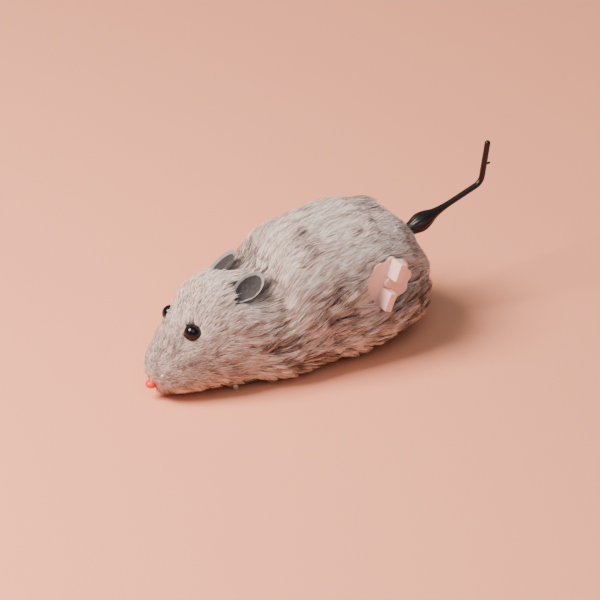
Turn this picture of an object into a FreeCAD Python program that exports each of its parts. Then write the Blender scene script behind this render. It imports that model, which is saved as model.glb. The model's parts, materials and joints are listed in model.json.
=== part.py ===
"""Clockwork plush mouse: a fur-covered toy on two driven wheels, wound by a key on its left flank.

Frame: millimetres, +Z up, nose towards -Y, +X is the mouse's own left, where the key is.
The parts are drawn with Y measured back from the tip of the muzzle and Z up from the floor,
and export() then slides them so that the origin is under the middle of the whole toy.
"""

import FreeCAD, Part
import math
import os

Vector = FreeCAD.Vector

# ---- Driving dimensions (mm, Y from the muzzle tip, Z from the floor) ----
MID_LENGTH = 53.1            # half way between the nose bead and the tail's tip
FUR_LENGTH = 84.0            # muzzle to rump, without the tail
FUR_THICKNESS = 2.4          # backing cloth and laid pile
SOFT_GAP = 0.35              # between stuffing and what it packs round
WAD_PARTING_Y = 49.4         # where the two wads of stuffing meet
WAD_GAP = 0.4
HEAD_WAD_BOTTOM_Z = 4.6
BACK_WAD_BOTTOM_Z = 14.0

KEY_CENTRE = (64.5, 23.9)    # winding arbor, as (Y, Z)
KEY_DISC_RADIUS = 7.2
KEY_DISC_INNER_X = 15.3
KEY_DISC_THICKNESS = 1.0
KEY_LUG_HEIGHT = 3.9
KEY_LUG_WIDTH = 3.1          # where it stands on the disc
KEY_LUG_TIP_WIDTH = 2.0      # at its outer end
KEY_LUG_INSET = 0.3          # from the lobes' tips to the ends of the grip
KEY_GAP = 3.4                # between the two grip lugs
KEY_TILT = 22.0              # degrees that the grip leans from upright
KEY_LOBES = 9
KEY_LOBE_RADIUS = 2.0
KEY_CORE_INSET = 0.75        # between the lobes, from their tips
KEY_HUB_RADIUS = 2.2
KEY_KNOB_RADIUS = 1.5
KEY_KNOB_HEIGHT = 1.0
KEY_LUG_ROUNDING = 0.25
KEY_ROOM = 0.5               # round the disc, in the fur
KEY_ROOM_BEHIND = 0.4
BEYOND = 90.0                # further out than any surface of the toy

WHEEL_RADIUS = 6.5
WHEEL_INNER_X = 7.8
WHEEL_WIDTH = 2.4
WHEEL_HUB_RADIUS = 4.7
AXLE_RADIUS = 0.9
WHEEL_BOSS_RADIUS = 1.9
WHEEL_DISH = 0.8             # depth of the dish, and width of the rim round it
TYRE_ROUNDING = 0.5

TAIL_SLOPE = 18.0            # degrees that the tail's spindle rises
TAIL_EXIT = (82.2, 26.3)     # where the spindle's line leaves the fur, as (Y, Z)
TAIL_TIP = (106.3, 45.2)     # middle of the tail's end, as (Y, Z)
TAIL_BEND_Y = 104.4
TAIL_BEND_RADIUS = 3.2
TAIL_ROD_RADIUS = 0.8
TAIL_BULB_RADIUS = 2.75
NIB_RADIUS = 0.3
NIB_LENGTH = 1.6
NIB_RISE = 5.4               # from the corner of the bend
TAIL_SPIGOT_START = 13.2     # run along the spindle's line from the crown wheel's arbor
TAIL_SPIGOT_END = 19.0
BUSH_RADIUS = 1.7
BUSH_FLANGE_RADIUS = 2.4
BUSH_RUN = (5.0, 12.0)       # along the spindle's line
BUSH_FLANGE_START = 11.2
TAIL_ROOM_RADIUS = 2.4       # round the spindle's line, in the fur
TAIL_WAD_ROOM_RADIUS = 3.0   # and in the stuffing
# Run along the spindle's line, and the radius there.
TAIL_PROFILE = (
    (TAIL_SPIGOT_START, 1.8),
    (16.9, 1.8),
    (18.0, 2.25),
    (19.9, TAIL_BULB_RADIUS),
    (22.2, 2.35),
    (24.6, 1.35),
    (27.2, 0.95),
    (29.5, TAIL_ROD_RADIUS),
)

MODULE = 0.4                 # of every gear in the train
PRESSURE_ANGLE = 25.0
TOOTH_ADDENDUM = 0.75        # short teeth, in modules
TOOTH_DEDENDUM = 0.95
BACKLASH = 0.12
GREAT_TEETH = 40
SECOND_TEETH = 30
PINION_TEETH = 10
CROWN_TEETH = 16
CROWN_TOOTH_LENGTH = 0.8
TAIL_PINION_TEETH = 8
SECOND_Y = 61.5              # how far back the second arbor stands
SECOND_WHEEL_PHASE = 0.0     # degrees from +Y to the middle of one of its teeth

CASE_HALF_WIDTH = 7.4
CASE_PLATE = 1.0
CASE_WALL = 1.1
CASE_FRONT_Y = 53.0
CASE_REAR_Y = 74.6
CASE_BOTTOM_Z = 2.9
CASE_TOP_Z = 34.3
CASE_CHAMFER = (70.5, 28.8)  # Y where the top face ends, Z where the rear face ends
CASE_SCREWS = ((55.2, 32.0), (55.2, 5.2), (72.4, 5.2))
BOSS_RADIUS = 1.5
SCREW_RADIUS = 0.6
CASE_SCREW_HEAD_RADIUS = 1.2
CASE_SCREW_HEAD_HEIGHT = 0.7
CASE_SCREW_LENGTH = 6.0
CASE_LUG_HALF_WIDTH = 3.0    # of the two lugs that the pan's screws enter
CASE_LUG_REACH = 3.4
CASE_LUG_HEIGHT = 2.6
MID_PLATE_FIT = 0.05         # between the inner plate and the case's wall
MID_PLATE_REACH = 1.5        # past the crown wheel's arbor

PAN_BOTTOM_Z = 1.8
PAN_RIB_WIDTH = 1.2
PAN_RIB_HEIGHT = 1.2
PAN_RIB_Y = (16.0, 47.0)
WHEEL_ROOM = 0.7             # round each tyre, in the pan's slot
PAN_SCREWS_Y = (51.2, 76.4)
PAN_SCREW_HEAD_RADIUS = 1.4
PAN_SCREW_HEAD_HEIGHT = 0.8
PAN_SCREW_LENGTH = 3.4
PAN_FIT = 0.15               # round the pan, in the fur
PAN_FIT_Z = (-1.0, 8.0)
# One side of the pan's outline, as (X, Y).
PAN_SIDE = ((3.4, 14.0), (6.6, 18.0), (9.0, 22.5), (10.6, 32.0), (10.6, 68.0), (8.6, 75.0), (5.0, 79.0))
PAD_HALF_WIDTH = 7.0         # raised flat pad under the pan
PAD_Y = (27.0, 46.0)
PAD_HEIGHT = 0.4
FOOT_CENTRE = (7.7, 22.0)    # glide foot, as (X, Y)
FOOT_RADIUS = 0.8
FOOT_HEAD_RADIUS = 1.3
FOOT_HEAD_HEIGHT = 0.6
FOOT_ROOM_HEIGHT = 5.0       # clear space in the fur over the floor at each foot

ARBOR_RADIUS = 1.2
PIN_RADIUS = 0.6             # second arbor and tail spindle
CROWN_PIN_RADIUS = 0.5
RUNNING_FIT = 0.05           # radial clearance of every shaft in its hole
SLEEVE_RADIUS = 1.0          # of the second wheel's long sleeve
PLATE_ROOM = 0.4             # round shafts that only pass through the inner plate
BOSS_FIT = 0.1

SPRING_X = (1.9, 4.2)
GREAT_X = (4.4, 5.4)
RATCHET_X = (5.6, 6.2)
MID_PLATE_X = (-0.5, 0.5)
SLOW_GEAR_X = (-6.0, -4.8)   # plane of the second wheel and the two pinions on it
CROWN_DISC_X = (-3.0, -2.0)

SPRING_POST_REACH = 8.3      # mainspring's outer anchor, from the winding arbor
SPRING_POST_RADIUS = 0.6
SPRING_START_GAP = 0.15      # from the arbor to the first turn
SPRING_PITCH = 0.34          # of the coil, a turn
SPRING_STRIP = 0.2
SPRING_TURNS = 9.75
RATCHET_TEETH = 12
RATCHET_ROOT = 2.6
RATCHET_TIP = 3.3
CLICK_X = (5.6, 6.1)
CLICK_PIVOT = (3.47, 4.14)   # from the winding arbor, as (Y, Z)
CLICK_SPRING_PEG = (6.0, -2.2)
CLICK_PEG_RADIUS = 0.5
CLICK_BOSS_RADIUS = 1.0
SPRING_PEG_RADIUS = 0.4
SPRING_EYE_RADIUS = 0.75
# Outlines from the winding arbor, as (Y, Z).
CLICK_ARM = ((2.80, 0.06), (3.50, 0.06), (4.25, 2.20), (4.20, 4.14), (2.75, 4.14), (2.90, 3.20), (3.05, 0.70))
CLICK_LEAF = ((5.42, -1.90), (5.62, -1.80), (4.42, 1.66), (4.22, 1.60))

EYE_CENTRE = (5.6, 10.1, 20.6)
EYE_RADIUS = 2.25
EYE_SHANK_WAY = (-0.75, 0.45, -0.1)
SHANK_RADIUS = 0.6           # of the pegs behind the eyes and the nose
EYE_SHANK_LENGTH = 3.0       # past the bead
NOSE_PEG_LENGTH = 4.0
NOSE_PEG_WAY = (0.0, 1.0, 0.15)
NOSE_CENTRE = (0.0, 0.7, 4.7)
NOSE_HALF_SIZES = (1.6, 1.7, 1.15)
KNOT_CENTRE = (4.6, 1.4, 9.4)
KNOT_RADIUS = 0.45
EAR_BASE = (6.6, 21.9, 27.2)
EAR_LENGTH = 11.2
EAR_WIDTH = 7.0
EAR_FELT = 0.6
EAR_DEPTH = 2.6
EAR_AXIS = (0.06, 0.86, 0.51)        # from the base of the left ear to its tip
EAR_OPENING = (0.38, -0.46, 0.80)    # the way that the left ear's hollow faces

# One row for each place along the fur: Y, top Z, bottom Z, half width, and the power that
# squares off the lower half of the section (2 is an ellipse).
FUR_STATIONS = (
    (-0.6, 10.6, 6.2, 1.8, 2.0),
    (0.4, 13.0, 4.0, 4.0, 2.0),
    (2.5, 15.6, 2.4, 6.0, 2.0),
    (6.0, 19.4, 1.7, 8.2, 2.2),
    (10.5, 24.0, 1.5, 10.0, 2.4),
    (15.5, 30.0, 1.5, 11.8, 2.6),
    (19.5, 31.4, 1.5, 13.0, 2.8),
    (24.0, 30.8, 1.4, 14.0, 3.0),
    (29.0, 29.7, 1.3, 15.0, 3.4),
    (32.5, 31.2, 1.3, 15.8, 3.6),
    (37.0, 36.2, 1.2, 16.8, 3.6),
    (43.0, 38.4, 1.2, 17.6, 3.4),
    (50.0, 39.5, 1.2, 18.6, 3.1),
    (61.0, 40.0, 1.2, 19.4, 2.7),
    (70.0, 37.8, 1.4, 17.8, 2.3),
    (77.0, 31.8, 2.0, 14.4, 2.1),
    (81.5, 25.2, 4.0, 10.2, 2.0),
    (84.0, 20.0, 8.5, 5.0, 2.0),
)
TOP_POWER = 2.2
WIDEST_SHARE = 0.38          # how far up each section is widest
SECTION_POINTS = 24


# ---- Placing and shaping helpers ----
def box(x_range, y_range, z_range):
    """A block between the given limits."""
    size = [b - a for a, b in (x_range, y_range, z_range)]
    return Part.makeBox(*size, Vector(x_range[0], y_range[0], z_range[0]))


def rod(radius, x_range, centre):
    """A round bar along X; centre is (Y, Z)."""
    start = Vector(x_range[0], *centre)
    return Part.makeCylinder(radius, x_range[1] - x_range[0], start, Vector(1, 0, 0))


def tube(outer, inner, x_range, centre):
    """A ring along X; centre is (Y, Z)."""
    return rod(outer, x_range, centre).cut(rod(inner, x_range, centre))


def plate(outline, x_range):
    """A flat plate whose (Y, Z) outline is extruded along X."""
    points = [Vector(x_range[0], y, z) for y, z in outline]
    face = Part.Face(Part.makePolygon(points + points[:1]))
    return face.extrude(Vector(x_range[1] - x_range[0], 0, 0))


def polar(radius, degrees, centre=(0.0, 0.0)):
    """The (Y, Z) point at an angle from +Y towards +Z."""
    turn = math.radians(degrees)
    return centre[0] + radius * math.cos(turn), centre[1] + radius * math.sin(turn)


def unit(values):
    """A Vector of length 1."""
    vector = Vector(*values)
    vector.normalize()
    return vector


def mirrored(shape):
    """The same piece on the other side of the middle plane."""
    return shape.mirror(Vector(0, 0, 0), Vector(1, 0, 0))


def fuse_all(shapes):
    """One solid from several that touch."""
    return shapes[0].multiFuse(list(shapes[1:])).removeSplitter()


# ---- Where the train's centres are ----
def pitch_radius(teeth):
    """Pitch radius of a gear in the train."""
    return MODULE * teeth / 2


def centre_distance(teeth_a, teeth_b):
    """Distance between the centres of two gears in mesh."""
    return pitch_radius(teeth_a) + pitch_radius(teeth_b)


TAIL_WAY = (math.cos(math.radians(TAIL_SLOPE)), math.sin(math.radians(TAIL_SLOPE)))
SECOND_CENTRE = (
    SECOND_Y,
    KEY_CENTRE[1] - math.sqrt(
        centre_distance(GREAT_TEETH, PINION_TEETH)**2 - (KEY_CENTRE[0] - SECOND_Y)**2
    ),
)
AXLE_CENTRE = (
    SECOND_CENTRE[0] - math.sqrt(
        centre_distance(SECOND_TEETH, PINION_TEETH)**2 - (SECOND_CENTRE[1] - WHEEL_RADIUS)**2
    ),
    WHEEL_RADIUS,
)


def crown_centre():
    """The point of the tail spindle's line that is one gear distance behind the second arbor."""
    reach = centre_distance(SECOND_TEETH, PINION_TEETH)
    offset = (SECOND_CENTRE[0] - TAIL_EXIT[0], SECOND_CENTRE[1] - TAIL_EXIT[1])
    along = offset[0] * TAIL_WAY[0] + offset[1] * TAIL_WAY[1]
    across = offset[0] * TAIL_WAY[1] - offset[1] * TAIL_WAY[0]
    run = along + math.sqrt(reach**2 - across**2)
    return TAIL_EXIT[0] + run * TAIL_WAY[0], TAIL_EXIT[1] + run * TAIL_WAY[1]


CROWN_CENTRE = crown_centre()
CROWN_RADIUS = pitch_radius(CROWN_TEETH)


def on_tail(run, x=0.0):
    """A point on the tail spindle's line, run mm behind the crown wheel's arbor."""
    return Vector(x, CROWN_CENTRE[0] + run * TAIL_WAY[0], CROWN_CENTRE[1] + run * TAIL_WAY[1])


TAIL_AXIS = Vector(0, *TAIL_WAY)


def tail_rod(radius, start, end):
    """A round bar on the tail spindle's line."""
    return Part.makeCylinder(radius, end - start, on_tail(start), TAIL_AXIS)


def slope_angle(centre_a, centre_b):
    """Degrees from +Y towards +Z of the line from one centre to another."""
    return math.degrees(math.atan2(centre_b[1] - centre_a[1], centre_b[0] - centre_a[0]))


# ---- Gears ----
def gear_outline(teeth, centre, phase):
    """Involute teeth, thinned by the backlash, with a tooth's middle at the phase angle."""
    middle = pitch_radius(teeth)
    base = middle * math.cos(math.radians(PRESSURE_ANGLE))
    tip = middle + TOOTH_ADDENDUM * MODULE
    root = middle - TOOTH_DEDENDUM * MODULE

    def roll(radius):
        angle = math.acos(min(1.0, base / radius))
        return math.tan(angle) - angle

    half_tooth = math.pi / (2 * teeth) - BACKLASH / (4 * middle)
    flank = [(max(base, root), half_tooth + roll(middle))]
    for radius in (middle, (middle + tip) / 2, tip):
        flank.append((radius, half_tooth + roll(middle) - roll(radius)))
    if root < base:
        flank.insert(0, (root, flank[0][1]))
    outline = []
    for tooth in range(teeth):
        axis = phase + 360.0 * tooth / teeth
        for radius, half in flank:
            outline.append(polar(radius, axis - math.degrees(half), centre))
        for radius, half in reversed(flank):
            outline.append(polar(radius, axis + math.degrees(half), centre))
    return outline


def gear(teeth, centre, x_range, phase):
    """A solid spur gear on an X axis."""
    return plate(gear_outline(teeth, centre, phase), x_range)


def meshing_phase(phase, teeth, centre, other_teeth, other_centre):
    """The phase that puts another gear in mesh with one whose phase is known."""
    line = slope_angle(centre, other_centre)
    past_tooth = (line - phase) * teeth / 360.0
    return line + 180.0 + (0.5 + past_tooth) * 360.0 / other_teeth


def crown_tooth():
    """One tooth of the crown wheel, pointing to +X, where the tail pinion meets it."""
    pitch_x = -pitch_radius(TAIL_PINION_TEETH)
    half = math.pi * MODULE / 4 - BACKLASH / 4
    lean = math.tan(math.radians(PRESSURE_ANGLE))
    levels = (
        (CROWN_DISC_X[1], half + lean * (pitch_x - CROWN_DISC_X[1])),
        (pitch_x + TOOTH_ADDENDUM * MODULE, half - lean * TOOTH_ADDENDUM * MODULE),
    )
    inner = CROWN_RADIUS - CROWN_TOOTH_LENGTH / 2
    outline = [Vector(x, inner, side * width) for (x, width), side in
               ((levels[0], -1), (levels[1], -1), (levels[1], 1), (levels[0], 1))]
    face = Part.Face(Part.makePolygon(outline + outline[:1]))
    return face.extrude(Vector(0, CROWN_TOOTH_LENGTH, 0))


# ---- Fur, stuffing and trim ----
def fur_section(station, inset):
    """The closed curve of the fur at one station, moved in by the inset."""
    y, top, bottom, half_width, power = station
    top -= inset
    bottom += inset
    half_width -= inset
    widest = bottom + WIDEST_SHARE * (top - bottom)
    y = inset + y * (FUR_LENGTH - 2 * inset) / FUR_LENGTH
    points = []
    for step in range(SECTION_POINTS):
        turn = 2 * math.pi * step / SECTION_POINTS
        upper = math.sin(turn) >= 0
        height = top - widest if upper else widest - bottom
        shape = TOP_POWER if upper else power
        scale = (abs(math.cos(turn))**shape + abs(math.sin(turn))**shape)**(-1 / shape)
        points.append(Vector(half_width * scale * math.cos(turn), y,
                             widest + height * scale * math.sin(turn)))
    curve = Part.BSplineCurve()
    curve.interpolate(Points=points, PeriodicFlag=True)
    return Part.Wire([curve.toShape()])


def fur_form(inset):
    """The closed body form, moved in by the inset."""
    smallest = 1.2
    rows = [s for s in FUR_STATIONS if min(s[3], (s[1] - s[2]) / 2) - inset > smallest or inset == 0]
    return Part.makeLoft([fur_section(row, inset) for row in rows], True, False)


def pan_outline(grow):
    """The (X, Y) outline of the base pan, grown outwards."""
    low_y, high_y = PAN_SIDE[0][1], PAN_SIDE[-1][1]
    right = [(x + grow, y + (grow if y == high_y else -grow if y == low_y else 0)) for x, y in PAN_SIDE]
    left = [(-x, y) for x, y in reversed(right)]
    return right + left


def pan_prism(grow, z_range):
    """The pan's outline between two heights."""
    points = [Vector(x, y, z_range[0]) for x, y in pan_outline(grow)]
    face = Part.Face(Part.makePolygon(points + points[:1]))
    return face.extrude(Vector(0, 0, z_range[1] - z_range[0]))


def ear_shell():
    """The left ear: a cupped oval of felt, standing on its narrow end."""
    radius = (EAR_WIDTH**2 / 4 + EAR_DEPTH**2) / (2 * EAR_DEPTH)
    shell = Part.makeSphere(radius).cut(Part.makeSphere(radius - EAR_FELT))
    shell = shell.common(box((-radius, radius), (-radius, radius), (-radius, EAR_DEPTH - radius)))
    shell.translate(Vector(0, 0, radius - EAR_DEPTH))
    stretch = FreeCAD.Matrix()
    stretch.scale(1.0, EAR_LENGTH / EAR_WIDTH, 1.0)
    shell = shell.transformGeometry(stretch)
    axis = unit(EAR_AXIS)
    opening = unit(EAR_OPENING)
    middle = Vector(*EAR_BASE) + axis * (EAR_LENGTH / 2 - 0.6)
    turn = FreeCAD.Rotation(axis.cross(opening), axis, opening, "ZYX")
    shell.Placement = FreeCAD.Placement(middle, turn)
    return shell


def eye_bead():
    """The left eye: a round bead on a short shank that enters the head."""
    centre = Vector(*EYE_CENTRE)
    shank = Part.makeCylinder(SHANK_RADIUS, EYE_RADIUS + EYE_SHANK_LENGTH, centre, unit(EYE_SHANK_WAY))
    return Part.makeSphere(EYE_RADIUS, centre).fuse(shank)


def nose_bead():
    """The oval bead on the muzzle's tip, with the peg that holds it."""
    bead = Part.makeSphere(1.0)
    stretch = FreeCAD.Matrix()
    stretch.scale(*NOSE_HALF_SIZES)
    bead = bead.transformGeometry(stretch)
    bead.translate(Vector(*NOSE_CENTRE))
    peg = Part.makeCylinder(SHANK_RADIUS, NOSE_PEG_LENGTH, Vector(*NOSE_CENTRE), Vector(*NOSE_PEG_WAY))
    return bead.fuse(peg)


def whisker_knot():
    """The left one of the two thread knots on the muzzle."""
    return Part.makeSphere(KNOT_RADIUS, Vector(*KNOT_CENTRE))


def key_pocket():
    """The room that the key and its hub turn in."""
    disc = rod(KEY_DISC_RADIUS + KEY_ROOM, (KEY_DISC_INNER_X - KEY_ROOM_BEHIND, BEYOND), KEY_CENTRE)
    return disc.fuse(rod(KEY_HUB_RADIUS + SOFT_GAP, (CASE_HALF_WIDTH, BEYOND), KEY_CENTRE))


def case_room():
    """The room that the motor case takes up in the fur and the stuffing."""
    return plate(case_outline(SOFT_GAP), (-CASE_HALF_WIDTH - SOFT_GAP, CASE_HALF_WIDTH + SOFT_GAP))


def fur_cover(trim):
    """The plush skin: hollow, open under the belly, with holes for key, tail, beads and knots."""
    skin = fur_form(0.0).cut(fur_form(FUR_THICKNESS))
    skin = skin.cut(pan_prism(PAN_FIT, PAN_FIT_Z))
    skin = skin.cut(key_pocket())
    skin = skin.cut(tail_rod(TAIL_ROOM_RADIUS, 8.0, BEYOND))
    skin = skin.cut(case_room())
    for side in (-1, 1):
        centre = Vector(side * FOOT_CENTRE[0], FOOT_CENTRE[1], 0)
        skin = skin.cut(Part.makeCylinder(FOOT_HEAD_RADIUS + SOFT_GAP, FOOT_ROOM_HEIGHT, centre))
    for piece in trim:
        skin = skin.cut(piece)
    return largest(skin)


def largest(shape):
    """The biggest solid of a shape that a cut may have left crumbs on."""
    return max(shape.Solids, key=lambda solid: solid.Volume)


def stuffing_head(trim):
    """The wad that fills the head and shoulders, in front of the motor."""
    wad = fur_form(FUR_THICKNESS + SOFT_GAP)
    wad = wad.common(box((-BEYOND, BEYOND), (0, WAD_PARTING_Y - WAD_GAP), (HEAD_WAD_BOTTOM_Z, BEYOND)))
    for piece in trim:
        wad = wad.cut(piece)
    return largest(wad)


def stuffing_back():
    """The wad that is packed over and round the motor."""
    wad = fur_form(FUR_THICKNESS + SOFT_GAP)
    wad = wad.common(box((-BEYOND, BEYOND), (WAD_PARTING_Y, BEYOND), (BACK_WAD_BOTTOM_Z, BEYOND)))
    wad = wad.cut(case_room())
    wad = wad.cut(key_pocket())
    wad = wad.cut(tail_rod(TAIL_WAD_ROOM_RADIUS, 4.0, BEYOND))
    return largest(wad)


# ---- Base and motor case ----
def base_pan():
    """The flat moulded pan under the mouse, with slots for the wheels and holes for its screws."""
    pan = pan_prism(0.0, (PAN_BOTTOM_Z, CASE_BOTTOM_Z))
    gap = WHEEL_RADIUS + WHEEL_ROOM
    for side in (-1, 1):
        x_range = sorted((side * (WHEEL_INNER_X - 0.3), side * 20))
        pan = pan.cut(box(x_range, (AXLE_CENTRE[0] - gap, AXLE_CENTRE[0] + gap), (0, 5)))
        pan = pan.cut(Part.makeCylinder(FOOT_RADIUS, 5, Vector(side * FOOT_CENTRE[0], FOOT_CENTRE[1], 0)))
    rib_z = (CASE_BOTTOM_Z, CASE_BOTTOM_Z + PAN_RIB_HEIGHT)
    rib = box((-PAN_RIB_WIDTH / 2, PAN_RIB_WIDTH / 2), PAN_RIB_Y, rib_z)
    pad = box((-PAD_HALF_WIDTH, PAD_HALF_WIDTH), PAD_Y, (PAN_BOTTOM_Z - PAD_HEIGHT, PAN_BOTTOM_Z))
    pan = fuse_all([pan, rib, pad])
    for y in PAN_SCREWS_Y:
        pan = pan.cut(pan_screw(y))
    return pan


def pan_screw(y):
    """A countersunk screw that holds the motor down on the pan."""
    start = Vector(0, y, PAN_BOTTOM_Z)
    head = Part.makeCone(PAN_SCREW_HEAD_RADIUS, SCREW_RADIUS, PAN_SCREW_HEAD_HEIGHT, start)
    return head.fuse(Part.makeCylinder(SCREW_RADIUS, PAN_SCREW_LENGTH, start))


def glide_foot(side):
    """A nylon peg that the front of the mouse slides on."""
    centre = Vector(side * FOOT_CENTRE[0], FOOT_CENTRE[1], 0)
    peg = Part.makeCylinder(FOOT_RADIUS, CASE_BOTTOM_Z - 0.5, centre + Vector(0, 0, 0.5))
    dome = Part.makeSphere(FOOT_RADIUS, centre + Vector(0, 0, FOOT_RADIUS))
    head = Part.makeCylinder(FOOT_HEAD_RADIUS, FOOT_HEAD_HEIGHT, centre + Vector(0, 0, CASE_BOTTOM_Z))
    return fuse_all([peg, dome, head])


def case_outline(grow):
    """The motor case's (Y, Z) outline, grown outwards."""
    top_end, rear_end = CASE_CHAMFER
    slant = 0.45 * grow
    return (
        (CASE_FRONT_Y - grow, CASE_BOTTOM_Z - grow),
        (CASE_REAR_Y + grow, CASE_BOTTOM_Z - grow),
        (CASE_REAR_Y + grow, rear_end + slant),
        (top_end + slant, CASE_TOP_Z + grow),
        (CASE_FRONT_Y - grow, CASE_TOP_Z + grow),
    )


def case_holes(x_range):
    """Bearing holes in a side plate of the case."""
    return [
        rod(AXLE_RADIUS + RUNNING_FIT, x_range, AXLE_CENTRE),
        rod(PIN_RADIUS + RUNNING_FIT, x_range, SECOND_CENTRE),
    ]


def case_left():
    """The left plate of the case with its rim, its screw bosses and the two lugs for the pan."""
    inner = CASE_HALF_WIDTH - CASE_PLATE
    shell = plate(case_outline(0.0), (-inner, CASE_HALF_WIDTH))
    shell = shell.cut(plate(case_outline(-CASE_WALL), (-inner, inner)))
    bosses = [rod(BOSS_RADIUS, (-inner, inner), at) for at in CASE_SCREWS]
    across = (-CASE_LUG_HALF_WIDTH, CASE_LUG_HALF_WIDTH)
    height = (CASE_BOTTOM_Z, CASE_BOTTOM_Z + CASE_LUG_HEIGHT)
    lugs = [
        box(across, (CASE_FRONT_Y - CASE_LUG_REACH, CASE_FRONT_Y), height),
        box(across, (CASE_REAR_Y, CASE_REAR_Y + CASE_LUG_REACH), height),
    ]
    shell = fuse_all([shell] + bosses + lugs)
    for at in CASE_SCREWS:
        shell = shell.cut(rod(SCREW_RADIUS, (-inner, inner - CASE_SCREW_LENGTH), at))
    for y in PAN_SCREWS_Y:
        shell = shell.cut(pan_screw(y))
    for hole in case_holes((inner, CASE_HALF_WIDTH)):
        shell = shell.cut(hole)
    shell = shell.cut(rod(ARBOR_RADIUS + RUNNING_FIT, (0, CASE_HALF_WIDTH), KEY_CENTRE))
    return shell.cut(tail_rod(BUSH_RADIUS, 4.0, 20.0))


def case_right():
    """The flat right plate that closes the case."""
    x_range = (-CASE_HALF_WIDTH, CASE_PLATE - CASE_HALF_WIDTH)
    cover = plate(case_outline(0.0), x_range)
    for hole in case_holes(x_range):
        cover = cover.cut(hole)
    cover = cover.cut(rod(CROWN_PIN_RADIUS + RUNNING_FIT, x_range, CROWN_CENTRE))
    for at in CASE_SCREWS:
        cover = cover.cut(case_screw(at))
    return cover


def case_screw(at):
    """A countersunk screw through the right plate into its boss."""
    start = Vector(-CASE_HALF_WIDTH, *at)
    head = Part.makeCone(CASE_SCREW_HEAD_RADIUS, SCREW_RADIUS, CASE_SCREW_HEAD_HEIGHT, start, Vector(1, 0, 0))
    return head.fuse(Part.makeCylinder(SCREW_RADIUS, CASE_SCREW_LENGTH, start, Vector(1, 0, 0)))


def mid_plate():
    """The inner plate that carries the inboard ends of two arbors and the mainspring's post."""
    gap = CASE_WALL + MID_PLATE_FIT
    rear = CROWN_CENTRE[0] + MID_PLATE_REACH
    outline = (
        (CASE_FRONT_Y + gap, CASE_BOTTOM_Z + gap),
        (rear, CASE_BOTTOM_Z + gap),
        (rear, CASE_TOP_Z - gap),
        (CASE_FRONT_Y + gap, CASE_TOP_Z - gap),
    )
    body = plate(outline, MID_PLATE_X)
    post_centre = polar(SPRING_POST_REACH, 180.0, KEY_CENTRE)
    post = rod(SPRING_POST_RADIUS, (MID_PLATE_X[1], SPRING_X[1]), post_centre)
    body = fuse_all([body, post])
    body = body.cut(rod(ARBOR_RADIUS + RUNNING_FIT, MID_PLATE_X, KEY_CENTRE))
    body = body.cut(rod(CROWN_PIN_RADIUS + RUNNING_FIT, MID_PLATE_X, CROWN_CENTRE))
    body = body.cut(rod(SLEEVE_RADIUS + PLATE_ROOM, MID_PLATE_X, SECOND_CENTRE))
    body = body.cut(rod(AXLE_RADIUS + PLATE_ROOM, MID_PLATE_X, AXLE_CENTRE))
    for at in CASE_SCREWS:
        body = body.cut(rod(BOSS_RADIUS + BOSS_FIT, MID_PLATE_X, at))
    return largest(body)


def tail_bush():
    """The flanged bush in the case's rear wall that the tail spindle turns in."""
    flange = tail_rod(BUSH_FLANGE_RADIUS, BUSH_FLANGE_START, BUSH_RUN[1])
    body = tail_rod(BUSH_RADIUS, *BUSH_RUN).fuse(flange)
    return body.removeSplitter().cut(tail_rod(PIN_RADIUS + RUNNING_FIT, 4.0, 13.0))


# ---- Clockwork ----
def winding_arbor():
    """The steel arbor from the middle plate out to the key."""
    return rod(ARBOR_RADIUS, (MID_PLATE_X[0], KEY_DISC_INNER_X - 1.0), KEY_CENTRE)


def mainspring():
    """The steel strip, wound up round the arbor, with its outer end round the post."""
    start = ARBOR_RADIUS + SPRING_START_GAP
    end_radius = start + SPRING_PITCH * SPRING_TURNS
    end_angle = 360.0 * SPRING_TURNS
    steps = int(SPRING_TURNS * 16)
    coil = [polar(start + (end_radius - start) * i / steps, end_angle * i / steps, KEY_CENTRE)
            for i in range(steps + 1)]
    lead = 180.0 + 360.0 * math.ceil(SPRING_TURNS) - end_angle
    post_gap = SPRING_POST_REACH + SPRING_POST_RADIUS
    for i in range(1, 9):
        share = i / 8
        swell = end_radius + (post_gap - end_radius) * share * share * (3 - 2 * share)
        coil.append(polar(swell, end_angle + lead * share, KEY_CENTRE))
    inner = [Vector(SPRING_X[0], *p) for p in coil]
    outer = []
    for y, z in coil:
        reach = math.dist((y, z), KEY_CENTRE)
        grow = (reach + SPRING_STRIP) / reach
        outer.append(Vector(SPRING_X[0], KEY_CENTRE[0] + (y - KEY_CENTRE[0]) * grow,
                            KEY_CENTRE[1] + (z - KEY_CENTRE[1]) * grow))
    edges = []
    for points in (inner, outer):
        curve = Part.BSplineCurve()
        curve.interpolate(Points=points)
        edges.append(curve.toShape())
    ends = [Part.makeLine(inner[0], outer[0]), Part.makeLine(inner[-1], outer[-1])]
    wire = Part.Wire(Part.__sortEdges__(edges + ends))
    return Part.Face(wire).extrude(Vector(SPRING_X[1] - SPRING_X[0], 0, 0))


def ratchet_wheel():
    """The ratchet on the arbor: each tooth ramps up, then drops straight to the root."""
    outline = []
    pitch = 360.0 / RATCHET_TEETH
    for tooth in range(RATCHET_TEETH):
        for share in (0.0, 0.25, 0.5, 0.75, 1.0):
            radius = RATCHET_ROOT + (RATCHET_TIP - RATCHET_ROOT) * share
            outline.append(polar(radius, pitch * (tooth + share), KEY_CENTRE))
    return plate(outline, RATCHET_X).cut(rod(ARBOR_RADIUS, RATCHET_X, KEY_CENTRE))


def from_arbor(point):
    """A (Y, Z) place given from the winding arbor."""
    return KEY_CENTRE[0] + point[0], KEY_CENTRE[1] + point[1]


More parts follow.
